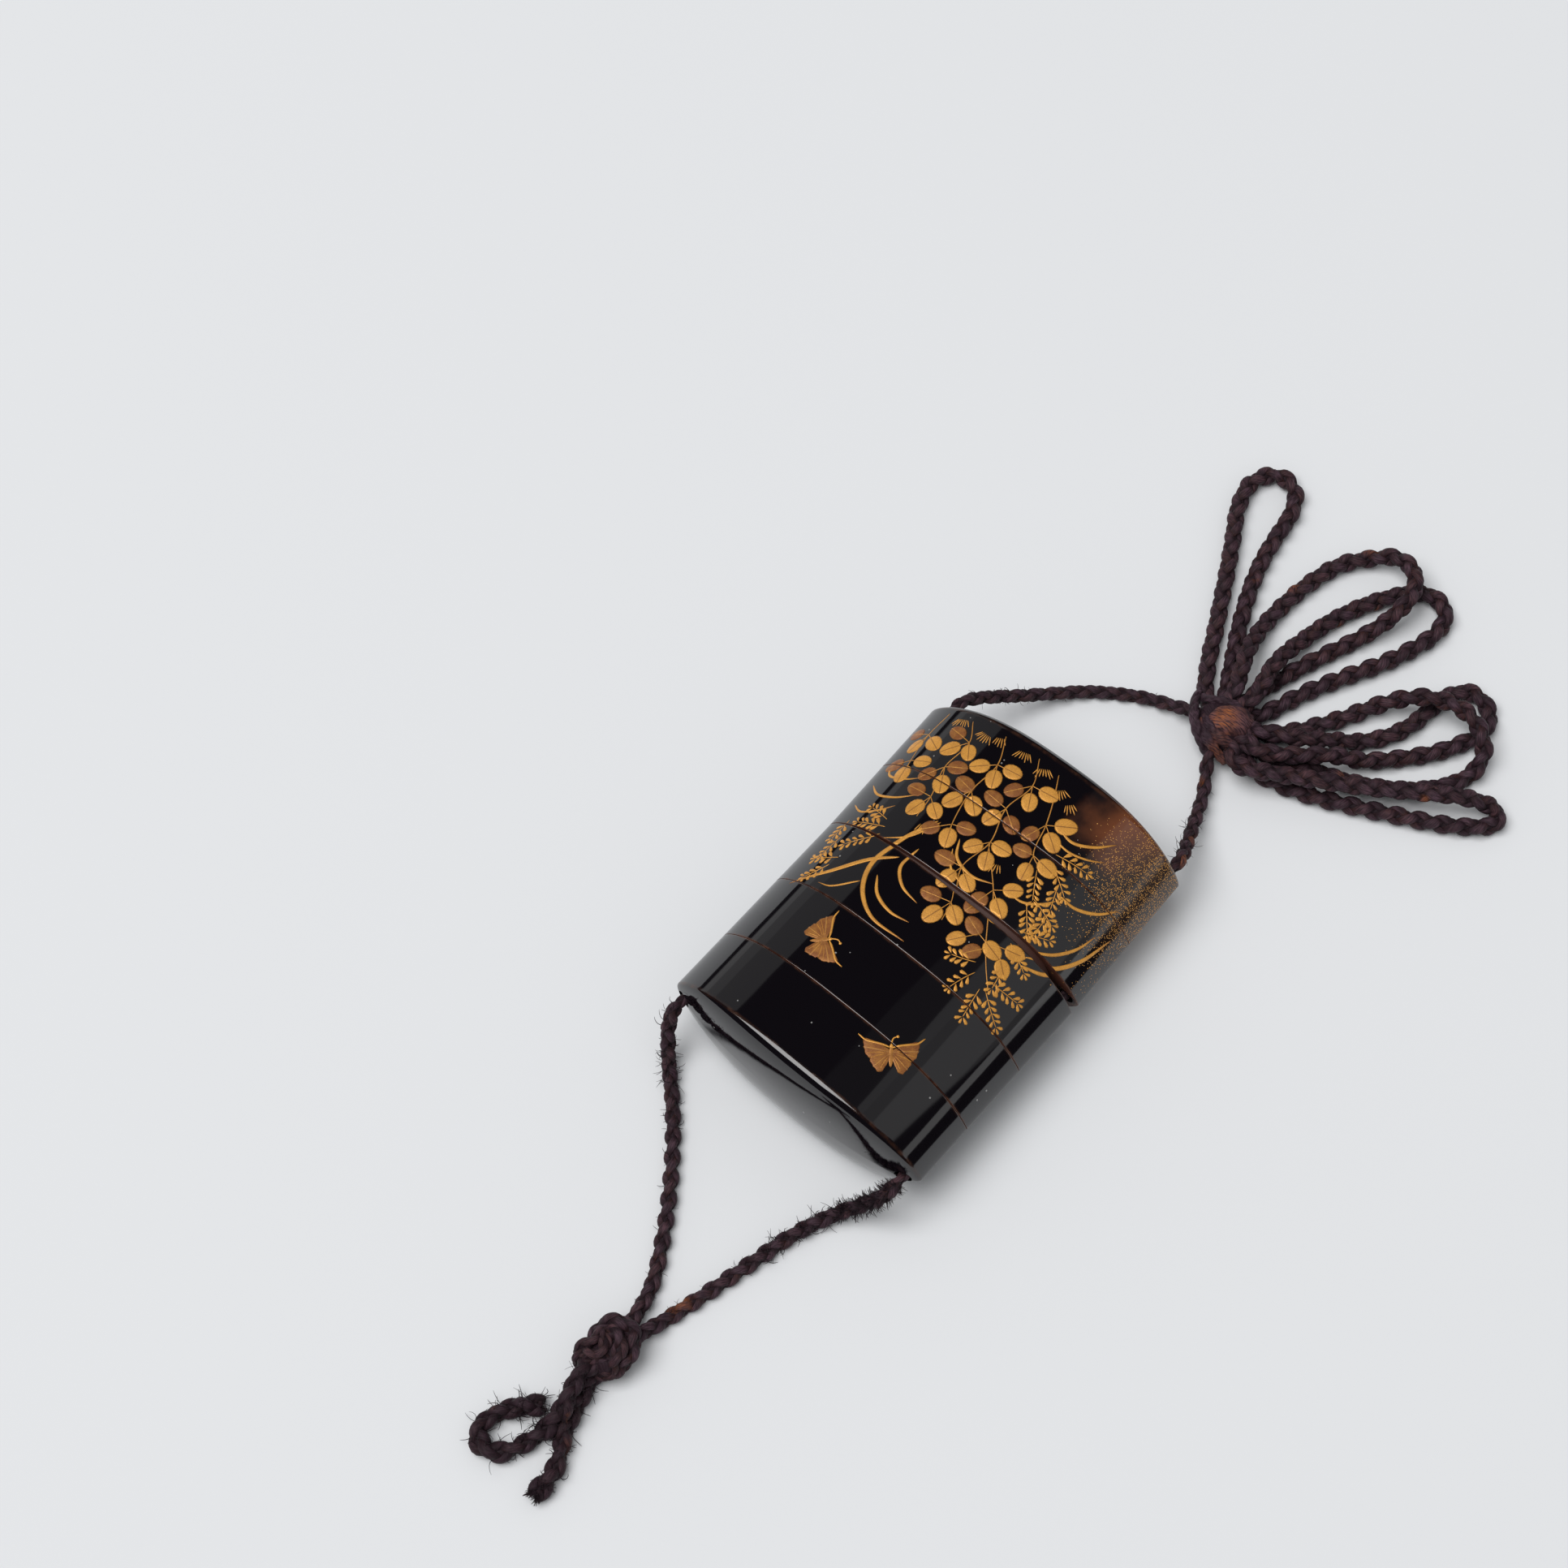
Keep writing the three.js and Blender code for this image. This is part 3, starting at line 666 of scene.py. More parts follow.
def braid_material(name, settings):
    """Matt silk with fibres along each strand, a paler colour on crests and turns that is painted highlight
    as well as rubbed silk, and orange-brown worn patches.
    """
    material, tree, shader = new_material(name)
    place = coordinates(tree, "Object")
    fibres = use_group(tree, silk_fibres, Vector=coordinates(tree, "UV"))
    lines = remap(tree, fibres, 0.32, 0.68)
    uneven = use_group(tree, soft_patches, Vector=place, Scale=330.0, Low=0.3, High=0.7)
    # Painted highlight and shade: the silk is mixed towards its paler colour where a strand rides on top or a
    # knot's turn catches the light, and stays dark where strands dip under each other; some of it is rubbed
    # silk.
    pale = times(tree, attribute(tree, "paleness_and_highlight"), plus(tree, times(tree, lines, 0.75), 0.08))
    pale = times(tree, pale, plus(tree, times(tree, uneven, 0.7), 0.35), True)
    shade = mix_colour(tree, pale, settings.silk, settings.paleness_and_highlight)
    worn = use_group(tree, soft_patches, Vector=place, Scale=90.0, Low=0.66, High=0.76)
    faded = times(tree, worn, plus(tree, times(tree, lines, 0.6), 0.2))
    faded = most(tree, faded, times(tree, attribute(tree, "faded"), lines), True)
    feed(tree, shader, {
        "Base Color": mix_colour(tree, faded, shade, settings.faded), "Roughness": 0.55,
        "Sheen Weight": 0.03, "Sheen Roughness": 0.4, "Specular IOR Level": 0.16,
        "Normal": bump(tree, fibres, 1.0, 0.0002),
    })
    return material


def silk():
    """The braid's material, made by its first user and then shared."""
    made = bpy.data.materials.get("purple_silk")
    return made or braid_material("purple_silk", bpy.context.scene.inro_cord)


# ---- Braids ------------------------------------------------------------------------------------
# A braid's strands, in diameters of the cord: their distance from its line and their half sizes, each
# with what the crests add to it and the low places take from it.
STRAND_RADIUS = (0.265, 0.065)
STRAND_WIDE = (0.245, 0.03)
STRAND_DEEP = (0.18, 0.015)
CORE_RADIUS = 0.26
STEEPNESS = 1.5  # how quickly a strand goes from below its neighbours to above them
CROSSING = 0.22  # how far a strand turns ahead while it crosses below the others
ROOT_SHARE = 0.6  # how far a cord's end reaches from a knot's side to its core
FADED_SHARE = 0.008  # how many of a strand's passes have lost their purple
PASSES = 400  # passes before the faded ones repeat
CORD_STEP, LOOP_STEP, TAIL_STEP = 0.45, 0.42, 0.4  # spacing of the points along each braid
# Length of braid in which a strand runs once round.
CORD_PITCH, LOOP_PITCH, TAIL_PITCH, KNOT_PITCH = 8.3, 9.0, 9.4, 8.6
CORD_WIDTH = 1.16  # width of the side cords' braid over its crests, in diameters of the cord
SNUG = ((-42.6, -41.8, 41, 44), (1.0, 0.7, 0.7, 0.92))  # the braid's share of its width along Y


def strand_rings(path, frames, side, rise, wide, deep, sides):
    """Rings of one strand that runs at side and rise from a path; wide and deep are half sizes."""
    _, normals, binormals = frames
    centres = path + binormals * side[:, None] + normals * rise[:, None]
    heading = unit(np.gradient(centres, axis=0))
    out = square_to(heading, centres - path + normals * 1e-4)
    across = np.cross(heading, out)
    return above_table(tube_rings(centres, out, across, deep[:, None], wide[:, None], sides))


def faded_spots(passes, rng):
    """How faded a strand is: here and there one pass over its neighbours has lost its purple."""
    lots = [
        rng.uniform(0.3, 0.7) if rng.random() < FADED_SHARE else rng.uniform(0, 0.1) for _ in range(PASSES)
    ]
    edge = np.clip(4 * (0.5 - np.abs(passes % 1 - 0.5)), 0, 1)
    return np.array(lots)[np.floor(passes).astype(int) % PASSES] * edge


def round_plait(bm, path, diameter, pitch, roll, rng, worn=0.0, sides=10):
    """Four strands over a core, two to each hand, that pass over each other in four columns of ovals.

    diameter and roll are single numbers or one number a station; worn is how much colour is lost.
    """
    frames = path_frames(path)
    run = run_length(path)
    twist = 2 * np.pi * run / pitch
    middle = np.zeros(len(path))
    inside = middle + CORE_RADIUS * diameter
    core = strand_rings(path, frames, middle, middle, inside, inside, 8)
    sweep(bm, core, {"paleness_and_highlight": middle, "faded": middle})
    for number in range(4):
        hand = 1 if number % 2 == 0 else -1
        even = hand * twist + np.pi * (number // 2)
        over = np.tanh(STEEPNESS * hand * np.cos(2 * even)) / math.tanh(STEEPNESS)
        radius, wide, deep = (
            diameter * (middling + change * over)
            for middling, change in (STRAND_RADIUS, STRAND_WIDE, STRAND_DEEP)
        )
        # A strand runs nearly straight while it is on top, and crosses quickly below the others.
        turned = even - hand * CROSSING * np.sin(2 * even) + roll
        side, rise = radius * np.sin(turned), radius * np.cos(turned)
        rings = strand_rings(path, frames, side, rise, wide, deep, sides)
        # Painted highlight and shade: a strand is paler while it lies over its neighbours and darker where it
        # crosses under them, partly also rubbed silk.
        paleness_and_highlight = np.clip(0.35 + 0.65 * over, 0, 1)
        faded = faded_spots(2 * run / pitch + number * 0.25, rng)
        faded = np.maximum(faded, worn * (0.5 + 0.5 * np.sin(run / 1.3 + number)))
        sweep(bm, rings, {"paleness_and_highlight": paleness_and_highlight, "faded": faded})


def cord_piece(name, bm, nodes):
    """Finishes a braided cord as a piece that takes the place of its CAD parts."""
    close_up(bm)
    made = to_object(bm, name, silk())
    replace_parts(made, *nodes)


def channel_points(side):
    """The cord's points inside one side of the case, beside the seams that it passes."""
    turn = Matrix.Rotation(UPPER_TURN, 4, "Z")
    upper, lower = (Vector((side * CHANNEL_OFFSET, y, 0)) for y in (SEAMS[3], SEAMS[1]))
    return [tuple(p + CASE_MIDDLE) for p in (HINGE + turn @ (upper - HINGE), lower)]


def root(end, knot):
    """A point inside a knot, a little way in from a cord's end."""
    return tuple(Vector(end).lerp(Vector(knot["core"]), ROOT_SHARE))


def side_cord_path(side):
    """The line of a side cord from the bow knot through the case to the end knot."""
    top, base, sign = (TOP_LEFT, BASE_LEFT, -1) if side == "left" else (TOP_RIGHT, BASE_RIGHT, 1)
    points = [root(top[-1], BOW_KNOT), *top[::-1], *channel_points(sign), *base, root(base[-1], END_KNOT)]
    return smooth_path(points, CORD_STEP)


class INRO_OT_cords(bpy.types.Operator):
    """Cord down each side of the case, from the bow knot through its channel to the end knot"""

    bl_idname = "inro.cords"
    bl_label = "Cord through the case"

    def execute(self, context):
        diameter = context.scene.inro_cord.strand / MM
        for side, seed in (("left", 4), ("right", 6)):
            path = side_cord_path(side)
            # The cord is squeezed in its channel and is thinner towards the bow.
            width = CORD_WIDTH * diameter * np.interp(path[:, 1], *SNUG)
            roll = 0.25 * np.sin(run_length(path) / 9 + seed) + 0.2
            bm = bmesh.new()
            round_plait(bm, path, width, CORD_PITCH, roll, random.Random(seed))
            nodes = [f"cord_{part}_{side}" for part in ("top", "channel", "base")]
            cord_piece(f"side_cord_{side}", bm, nodes)
        return {"FINISHED"}


class INRO_OT_bow(bpy.types.Operator):
    """Six loops of plump braid that fan out from the bow knot"""

    bl_idname = "inro.bow"
    bl_label = "Bow loops"

    def execute(self, context):
        diameter = context.scene.inro_cord.loop / MM
        for number, (name, points) in enumerate(BOW_LOOPS.items()):
            ends = [root(points[end], BOW_KNOT) for end in (0, -1)]
            path = smooth_path([ends[0], *points, ends[1]], LOOP_STEP)
            roll = math.pi / 4 + 0.2 * (number % 3 - 1)
            bm = bmesh.new()
            round_plait(bm, path, diameter, LOOP_PITCH, roll, random.Random(30 + number))
            cord_piece(f"braid_{name}", bm, [name])
        return {"FINISHED"}


def tail_path(points):
    """The line of a cord end from inside the end knot."""
    return smooth_path([root(points[0], END_KNOT), *points], TAIL_STEP)


class INRO_OT_tails(bpy.types.Operator):
    """The two worn cord ends below the end knot, one doubled back into a loop"""

    bl_idname = "inro.tails"
    bl_label = "Cord ends"

    def execute(self, context):
        diameter = context.scene.inro_cord.tail / MM
        ends = []
        for name, points, seed in (("tail_end", TAIL_END, 3), ("tail_loop", TAIL_LOOP, 8)):
            path = tail_path(points)
            run = run_length(path)
            plump = diameter * (1.06 + 0.1 * np.sin(run / 2.3 + seed))
            bm = bmesh.new()
            round_plait(bm, path, plump, TAIL_PITCH, 0.4 * np.sin(run / 7), random.Random(seed))
            # The worn ends get less of the paler silk, which is partly painted highlight, and less fading.
            for layer, share in (("paleness_and_highlight", 0.55), ("faded", 0.3)):
                numbers = point_layer(bm, layer)
                for vert in bm.verts:
                    vert[numbers] *= share
            if name == "tail_end":
                close_up(bm)
                ends.append(to_object(bm, "worn_tail_end", silk()))
                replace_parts(ends[0], "cord_tail_end")
            else:
                cord_piece("worn_tail_loop", bm, ["cord_tail_loop"])
        return {"FINISHED"}


# ---- Knots -------------------------------------------------------------------------------------
KNOT_STEP = 0.3


def lump(bm, centre, size, heading, paleness_and_highlight, patch=None):
    """A rounded uneven lump of matted silk, faded near a patch; its UVs run over it in millimetres."""
    paleness_and_highlight_layer = point_layer(bm, "paleness_and_highlight")
    fades = point_layer(bm, "faded")
    uv = bm.loops.layers.uv.verify()
    made = bmesh.ops.create_uvsphere(bm, u_segments=56, v_segments=32, radius=1)["verts"]
    place = Matrix.Translation(centre) @ Matrix.Rotation(math.radians(heading), 4, "Z")
    for vert in made:
        for loop in vert.link_loops:
            loop[uv].uv = (vert.co.y * size[1] / 8, vert.co.x * size[0])
        bulge = 1 + 0.07 * noise.noise(vert.co * 2.1) + 0.035 * noise.noise(vert.co * 6.3)
        vert.co = place @ Vector([vert.co[axis] * size[axis] * bulge for axis in range(3)])
        vert.co.z = max(vert.co.z, TABLE_GAP)
        # How much of the paler silk a point gets, which is partly painted highlight.
        vert[paleness_and_highlight_layer] = paleness_and_highlight
        if patch:
            ragged = 1.5 * noise.noise(vert.co * 0.9) + 0.7 * noise.noise(vert.co * 2.6)
            away = (vert.co - Vector(patch)).length + ragged
            vert[fades] = min(max(1.3 - away / 3.4, 0.2), 1)


def tuck(path, depth, power):
    """A turn's share of its width along its path, less where it is tucked in at both ends."""
    return np.sin(np.linspace(depth, math.pi - depth, len(path))) ** power


def band(bm, points, width, faded, core, rng):
    """A turn of flattened cord drawn over a knot, tucked in at both ends."""
    path = smooth_path(points, KNOT_STEP)
    run = run_length(path)
    _, normals, binormals = path_frames(path, core)
    uneven = 1 + 0.06 * np.sin(run / rng.uniform(0.7, 1.1) + rng.uniform(0, 6))
    half = width / 2 * tuck(path, 0.18, 0.4) * uneven
    sides = 32
    angles = np.linspace(0, 2 * np.pi, sides, endpoint=False)
    phase = angles[None, :] - 0.9 * run[:, None] + rng.uniform(0, 6)
    wide = half[:, None] * (0.84 + 0.3 * np.abs(np.cos(1.5 * phase)) ** 0.7)
    worn = faded * np.clip(0.6 + 0.9 * np.sin(run / 1.7 + rng.uniform(0, 6)), 0, 1)
    rings = above_table(tube_rings(path, normals, binormals, wide * 0.7, wide, sides))
    # Painted highlights: each turn grows paler and darker in waves along its length.
    sweep(bm, rings, {"paleness_and_highlight": 0.95 + 0.35 * np.sin(run / 1.3), "faded": worn})


def braided_turn(bm, points, width, worn, rng):
    """A turn of braid drawn over a knot, tucked in at both ends."""
    path = smooth_path(points, KNOT_STEP)
    diameter = 1.12 * width * tuck(path, 0.3, 0.3)
    round_plait(bm, path, diameter, KNOT_PITCH, rng.uniform(-0.4, 0.4), rng, worn, 12)


def build_knot(name, knot, node, seed, cap=None):
    """A knot as one piece: its core, the turns of cord over it and, on the bow knot, its cap."""
    rng = random.Random(seed)
    bm = bmesh.new()
    # The core stays mostly dark silk, with a little of the paler silk, which is partly painted highlight.
    lump(bm, knot["core"], knot["core_size"], 0, 0.3)
    for width, faded, *points in knot["turns"]:
        if cap:
            band(bm, points, width, faded, knot["core"], rng)
        else:
            braided_turn(bm, points, width, faded, rng)
    if cap:
        # The cap is mixed fully to the paler silk, as painted highlight on the knot's top together with
        # rubbed silk, besides its faded patch.
        lump(bm, cap["centre"], cap["size"], cap["heading"], 1.5, cap["patch"])
    close_up(bm)
    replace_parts(to_object(bm, name, silk()), node)


class INRO_OT_knots(bpy.types.Operator):
    """The bow knot, with its faded cap, and the end knot below the case"""

    bl_idname = "inro.knots"
    bl_label = "Knots"

    def execute(self, context):
        build_knot("wrapped_bow_knot", BOW_KNOT, "bow_knot", 21, KNOT_CAP)
        build_knot("wrapped_end_knot", END_KNOT, "end_knot", 22)
        return {"FINISHED"}


# ---- Loose fibres ------------------------------------------------------------------------------
# Where fibres stand out of the cord: between which two places along Y, how many, their shortest
# and longest, how far out from the line they start, how thick they are and how much they curl.
FRAYS = {
    "left": (
        (-58, -42, 110, 0.9, 2.8, 1.4, 0.08, 1.5), (-90, -58, 46, 0.6, 2.0, 1.4, 0.07, 1.2),
        (44, 56, 34, 0.8, 2.4, 1.3, 0.07, 1.3), (56, 74, 24, 0.6, 1.8, 1.3, 0.06, 1.2),
    ),
    "right": (
        (-51, -42.3, 520, 0.9, 2.2, 1.3, 0.09, 0.5), (-66, -49, 130, 1.0, 3.2, 1.4, 0.08, 2.4),
        (-90, -60, 44, 0.6, 1.9, 1.4, 0.06, 1.0), (44, 56, 46, 0.8, 2.4, 1.3, 0.07, 0.9),
        (56, 68, 22, 0.6, 1.7, 1.3, 0.06, 0.9),
    ),
    "tail_loop": ((-127, -104, 150, 0.9, 3.4, 1.9, 0.08, 2.2), (-118, -112, 60, 1.2, 4.0, 1.9, 0.09, 2.4)),
    "tail_end": ((-126, -104, 80, 0.9, 3.0, 1.9, 0.08, 2.2), (-127.4, -124, 330, 0.9, 2.1, 0.9, 0.13, 0.4)),
}
HAIR_PIECES = 5
HAIR_TAPER = np.array((1.0, 1.0, 0.9, 0.8, 0.7, 0.4))


def hair(bm, start, heading, reach, thick, curl, rng):
    """One loose fibre: a thin curved tube."""
    bend = Vector([rng.uniform(-1, 1) for _ in range(3)]).normalized() * curl * 0.3
    points = [Vector(start)]
    heading = heading.normalized()
    for _ in range(HAIR_PIECES):
        points.append(points[-1] + heading * reach / HAIR_PIECES)
        heading = (heading + bend).normalized()
        points[-1].z = max(points[-1].z, 0.1)
    path = np.array(points)
    _, normals, binormals = path_frames(path)
    radius = (thick * rng.uniform(0.6, 1.1) * HAIR_TAPER)[:, None]
    rings = above_table(tube_rings(path, normals, binormals, radius, radius, 3), 0.02)
    sweep(bm, rings, {"paleness_and_highlight": np.full(len(path), rng.uniform(0.1, 1.0)), "faded": np.zeros(len(path))})


class INRO_OT_fibres(bpy.types.Operator):
    """Loose fibres and frayed ends of the worn silk cord"""

    bl_idname = "inro.fibres"
    bl_label = "Loose fibres"

    def execute(self, context):
        lines = {side: side_cord_path(side) for side in ("left", "right")}
        lines["tail_loop"] = tail_path(TAIL_LOOP)
        lines["tail_end"] = tail_path(TAIL_END)
        for number, (name, frays) in enumerate(FRAYS.items()):
            rng = random.Random(50 + number)
            path = lines[name]
            tangents, normals, binormals = path_frames(path)
            bm = bmesh.new()
            for low, high, count, shortest, longest, out, thick, curl in frays:
                stations = np.flatnonzero((path[:, 1] >= low) & (path[:, 1] <= high))
                for _ in range(count):
                    at = stations[rng.randrange(len(stations))]
                    angle = rng.gauss(0, 1.3)
                    away = Vector(normals[at] * math.cos(angle) + binormals[at] * math.sin(angle))
                    along = Vector(tangents[at]) * rng.uniform(-0.6, 1.0)
                    if at > len(path) - 6:
                        along = Vector(tangents[at]) * rng.uniform(1.0, 3.0)
                    start = Vector(path[at]) + away * out * rng.uniform(0.55, 0.85)
                    hair(bm, start, away + along, rng.uniform(shortest, longest), thick, curl, rng)
            close_up(bm)
            to_object(bm, f"loose_fibres_{name}", silk())
        return {"FINISHED"}


# ---- The case ----------------------------------------------------------------------------------
OUTLINE_POINTS = 176
BEVEL = 0.07
DOME_STEPS = 22
RIM_WEAR = (0.22, 0.12)  # how worn the rims are, and up to which angle of the dome
RIM_WEAR_END = 0.4  # where the rim's wear ends on the outer wall, from the rim
END_STEPS = (0.0, 0.5, 1.0)  # sizes of the rings over a flat end, from its middle to its rim
SHARP_ANGLE = math.radians(50)
EDGE_WEAR = ((BEVEL, 0.6), (0.2, 0.12), (0.5, 0.0))  # distances from an open edge, and the wear there
WALL_SIZE = (CASE_WIDTH, CASE_THICKNESS)


def face_height(x, size, power):
    """Half thickness of a section across its width."""
    across = np.clip(np.abs(2 * x / size[0]), 0, 1)
    return size[1] / 2 * (1 - across ** BULGE_POWER) ** power


def outline(size, power):
    """Points round a section, over the front from left to right and back along the back."""
    half = OUTLINE_POINTS // 2
    front = -size[0] / 2 * np.cos(np.pi * np.arange(half) / half)
    across = np.concatenate((front, -front))
    height = face_height(across, size, power) * np.where(np.arange(OUTLINE_POINTS) < half, 1, -1)
    return across, height


def rim_height(x):
    """How far each rim lies from the middle of the case."""
    return RIM_LENGTH / 2 + RIM_BOW * (1 - (2 * x / CASE_WIDTH) ** 2)


class SectionRings:
    """Rings that shape one section from the inside of its lower end to the inside of its upper end."""

    def __init__(self):
        self.rings = []
        self.values = {"worn": [], "inner": []}

    def add(self, across, along, height, worn=0.0, inner=0.0):
        """Adds one ring of points, resting on the flattened strip of the back."""
        height = np.maximum(height, -MIDDLE_HEIGHT)
        self.rings.append(np.stack([across, np.broadcast_to(along, across.shape), height], axis=1))
        self.values["worn"].append(worn)
        self.values["inner"].append(inner)

    def inside(self, size, along, *scales):
        """Rings of a socket, riser or compartment, at their full size unless scales are given."""
        across, height = outline(size, INNER_POWER)
        for scale in scales or (1.0,):
            self.add(across * scale, along, height * scale, inner=1.0)

    def outside(self, along, worn):
        """A ring of the outer wall."""
        across, height = outline(WALL_SIZE, EDGE_POWER)
        self.add(across, along, height, worn)

    def edge(self, along):
        """A ring of the bevel at an open edge."""
        across, height = outline([side - 2 * BEVEL for side in WALL_SIZE], EDGE_POWER)
        self.add(across, along, height, 0.9, 0.8)

    def dome(self, end):
        """Rings over a domed end, from the rim to the pole or, at the base, from the pole to the rim."""
        across, height = outline(WALL_SIZE, EDGE_POWER)
        for angle in np.linspace(0, np.pi / 2, DOME_STEPS)[::end]:
            scale = max(np.cos(angle), 0) ** (2 / DOME_POWER)
            rise = END_DOME * np.sin(angle) ** (2 / DOME_POWER)
            worn = RIM_WEAR[0] if angle < RIM_WEAR[1] else 0.0
            self.add(across * scale, end * (rim_height(across * scale) + rise), height * scale, worn)

    def beside_rim(self, end):
        """A ring of the outer wall beside a rim, where the rim's wear has ended."""
        across, height = outline(WALL_SIZE, EDGE_POWER)
        self.add(across, end * (rim_height(across) - RIM_WEAR_END), height)

    def wall(self, low, high):
        """The outer wall between two heights, worn towards its open edges."""
        if low is None:
            self.beside_rim(-1)
        else:
            self.edge(low)
            for gap, worn in EDGE_WEAR:
                self.outside(low + gap, worn)
        if high is None:
            self.beside_rim(1)
        else:
            for gap, worn in EDGE_WEAR[::-1]:
                self.outside(high - gap, worn)
            self.edge(high)


def section_rings(low, high):
    """The rings of a section between two seams; None stands for a domed end."""
    shape = SectionRings()
    bottom = None if low is None else low + SEAM_GAP / 2
    top = None if high is None else high - SEAM_GAP / 2
    socket_end = None if low is None else low + RISER_HEIGHT + 3 * SEAM_GAP
    if low is None:
        shape.dome(-1)
    elif high is None:
        shape.inside(CAVITY, END_WALL_PLANE, *END_STEPS)
        shape.inside(CAVITY, socket_end)
        shape.inside(SOCKET, socket_end)
        shape.inside(SOCKET, bottom)
    else:
        shape.inside(SOCKET, socket_end, *END_STEPS)
        shape.inside(SOCKET, bottom)
    shape.wall(bottom, top)
    if high is None:
        shape.dome(1)
    else:
        mouth = high + RISER_HEIGHT
        shape.inside(RISER, top)
        shape.inside(RISER, mouth)
        shape.inside(CAVITY, mouth)
        floor = -END_WALL_PLANE if low is None else socket_end + FLOOR
        shape.inside(CAVITY, floor, *END_STEPS[::-1])
    return shape


def place_in_case(bm, turn):
    """Turns an upper section's points about the hinge and moves all of them to the case's place."""
    turned = Matrix.Translation(CASE_MIDDLE + HINGE) @ Matrix.Rotation(turn, 4, "Z")
    bmesh.ops.transform(bm, matrix=turned @ Matrix.Translation(-HINGE), verts=bm.verts)


def bored(section, turn):
    """Cuts the two cord channels through a section."""
    bm = bmesh.new()
    for side in (-1, 1):
        lie = Matrix.Translation((side * CHANNEL_OFFSET, 0, 0)) @ Matrix.Rotation(math.pi / 2, 4, "X")
        bmesh.ops.create_cone(
            bm, cap_ends=True, segments=32, radius1=CHANNEL_RADIUS, radius2=CHANNEL_RADIUS,
            depth=RIM_LENGTH * 1.5, matrix=lie,
        )
    place_in_case(bm, turn)
    rods = new_object("channel_rods", to_mesh(bm, "channel_rods"))
    cut = section.modifiers.new("Channels", "BOOLEAN")
    cut.object = rods
    cut.solver = "EXACT"
    seen = section.evaluated_get(bpy.context.evaluated_depsgraph_get())
    whole = bpy.data.meshes.new_from_object(seen)
    section.modifiers.clear()
    section.data = whole
    bpy.data.objects.remove(rods)


class INRO_OT_sections(bpy.types.Operator):
    """The five stacked sections, smooth and hollow, bored for the cord"""

    bl_idname = "inro.sections"
    bl_label = "Lacquered sections"

    def execute(self, context):
        lacquer = lacquer_material("black_lacquer", context.scene.inro_case)
        for name, low, high, turn in SECTIONS:
            shape = section_rings(low, high)
            bm = bmesh.new()
            sweep(bm, np.array(shape.rings), shape.values)
            close_up(bm)
            place_in_case(bm, turn)
            made = to_object(bm, f"lacquered_{name}", lacquer)
            bored(made, turn)
            made.data.set_sharp_from_angle(angle=SHARP_ANGLE)
            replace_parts(made, name)
        return {"FINISHED"}


# ---- Decoration --------------------------------------------------------------------------------
# Motifs are drawn flat: x is the distance across the front measured over its curve, y runs
# towards the lid, and z is the height above the lacquer. They are then laid on the case.
HALF_ACROSS = CASE_WIDTH / 2 * np.sin(np.linspace(0, np.pi / 2, 600))
HALF_HEIGHT = face_height(HALF_ACROSS, WALL_SIZE, EDGE_POWER)
HALF_RUN = run_length(np.stack([HALF_ACROSS, HALF_HEIGHT], axis=1))
SURFACE_STEP = 0.05  # distance either side of a point that gives the surface's slope
STROKE_STEP = 0.45
STROKE_SIDES = 6
LEAF_SPREAD = 72  # degrees between the leaves of a trefoil
EASING_ROUNDS = 60  # times that leaves too near each other are pushed apart
FAN_ANGLE = 11  # degrees between the dashes of a fan

# Sprays of bush clover: the places of a stem from the lid downwards. A place where a trefoil grows
# also has the trefoil's heading in degrees and how many of its leaves are gold rather than copper.
SPRAYS = (
    ((-25, 37), (-25.5, 31, -100, 2), (-24.5, 24, -75, 2), (-23, 19)),
    ((-19.5, 37), (-17, 32.5, -125, 2), (-17.5, 25.5, -60, 1), (-15.5, 18.5, -105, 2), (-15, 13.5)),
    ((-12, 37.5), (-9.5, 31.5, -70, 3), (-10, 24, -115, 2), (-8.5, 16, -70, 1), (-6.5, 11)),
    (
        (-4, 37.5), (-1.5, 32, -60, 2), (-2.5, 25, -115, 1), (-0.5, 17.5, -65, 3), (-1.5, 10, -110, 2),
        (1.5, 4, -100, 2), (2.5, 0),
    ),
    ((1, 37), (3.5, 32), (5.5, 27, -35, 2), (7.5, 20.5, -80, 2), (11, 19)),
    ((-0.5, 17), (6, 10, -35, 2), (9.5, 5), (12, 1.5), (15, -2), (18, -5)),
)
TREFOILS = [place for stem in SPRAYS for place in stem if len(place) > 2]
TREFOILS += [(9.5, 2.5, -110, 2), (13.5, 3, -50, 2)]

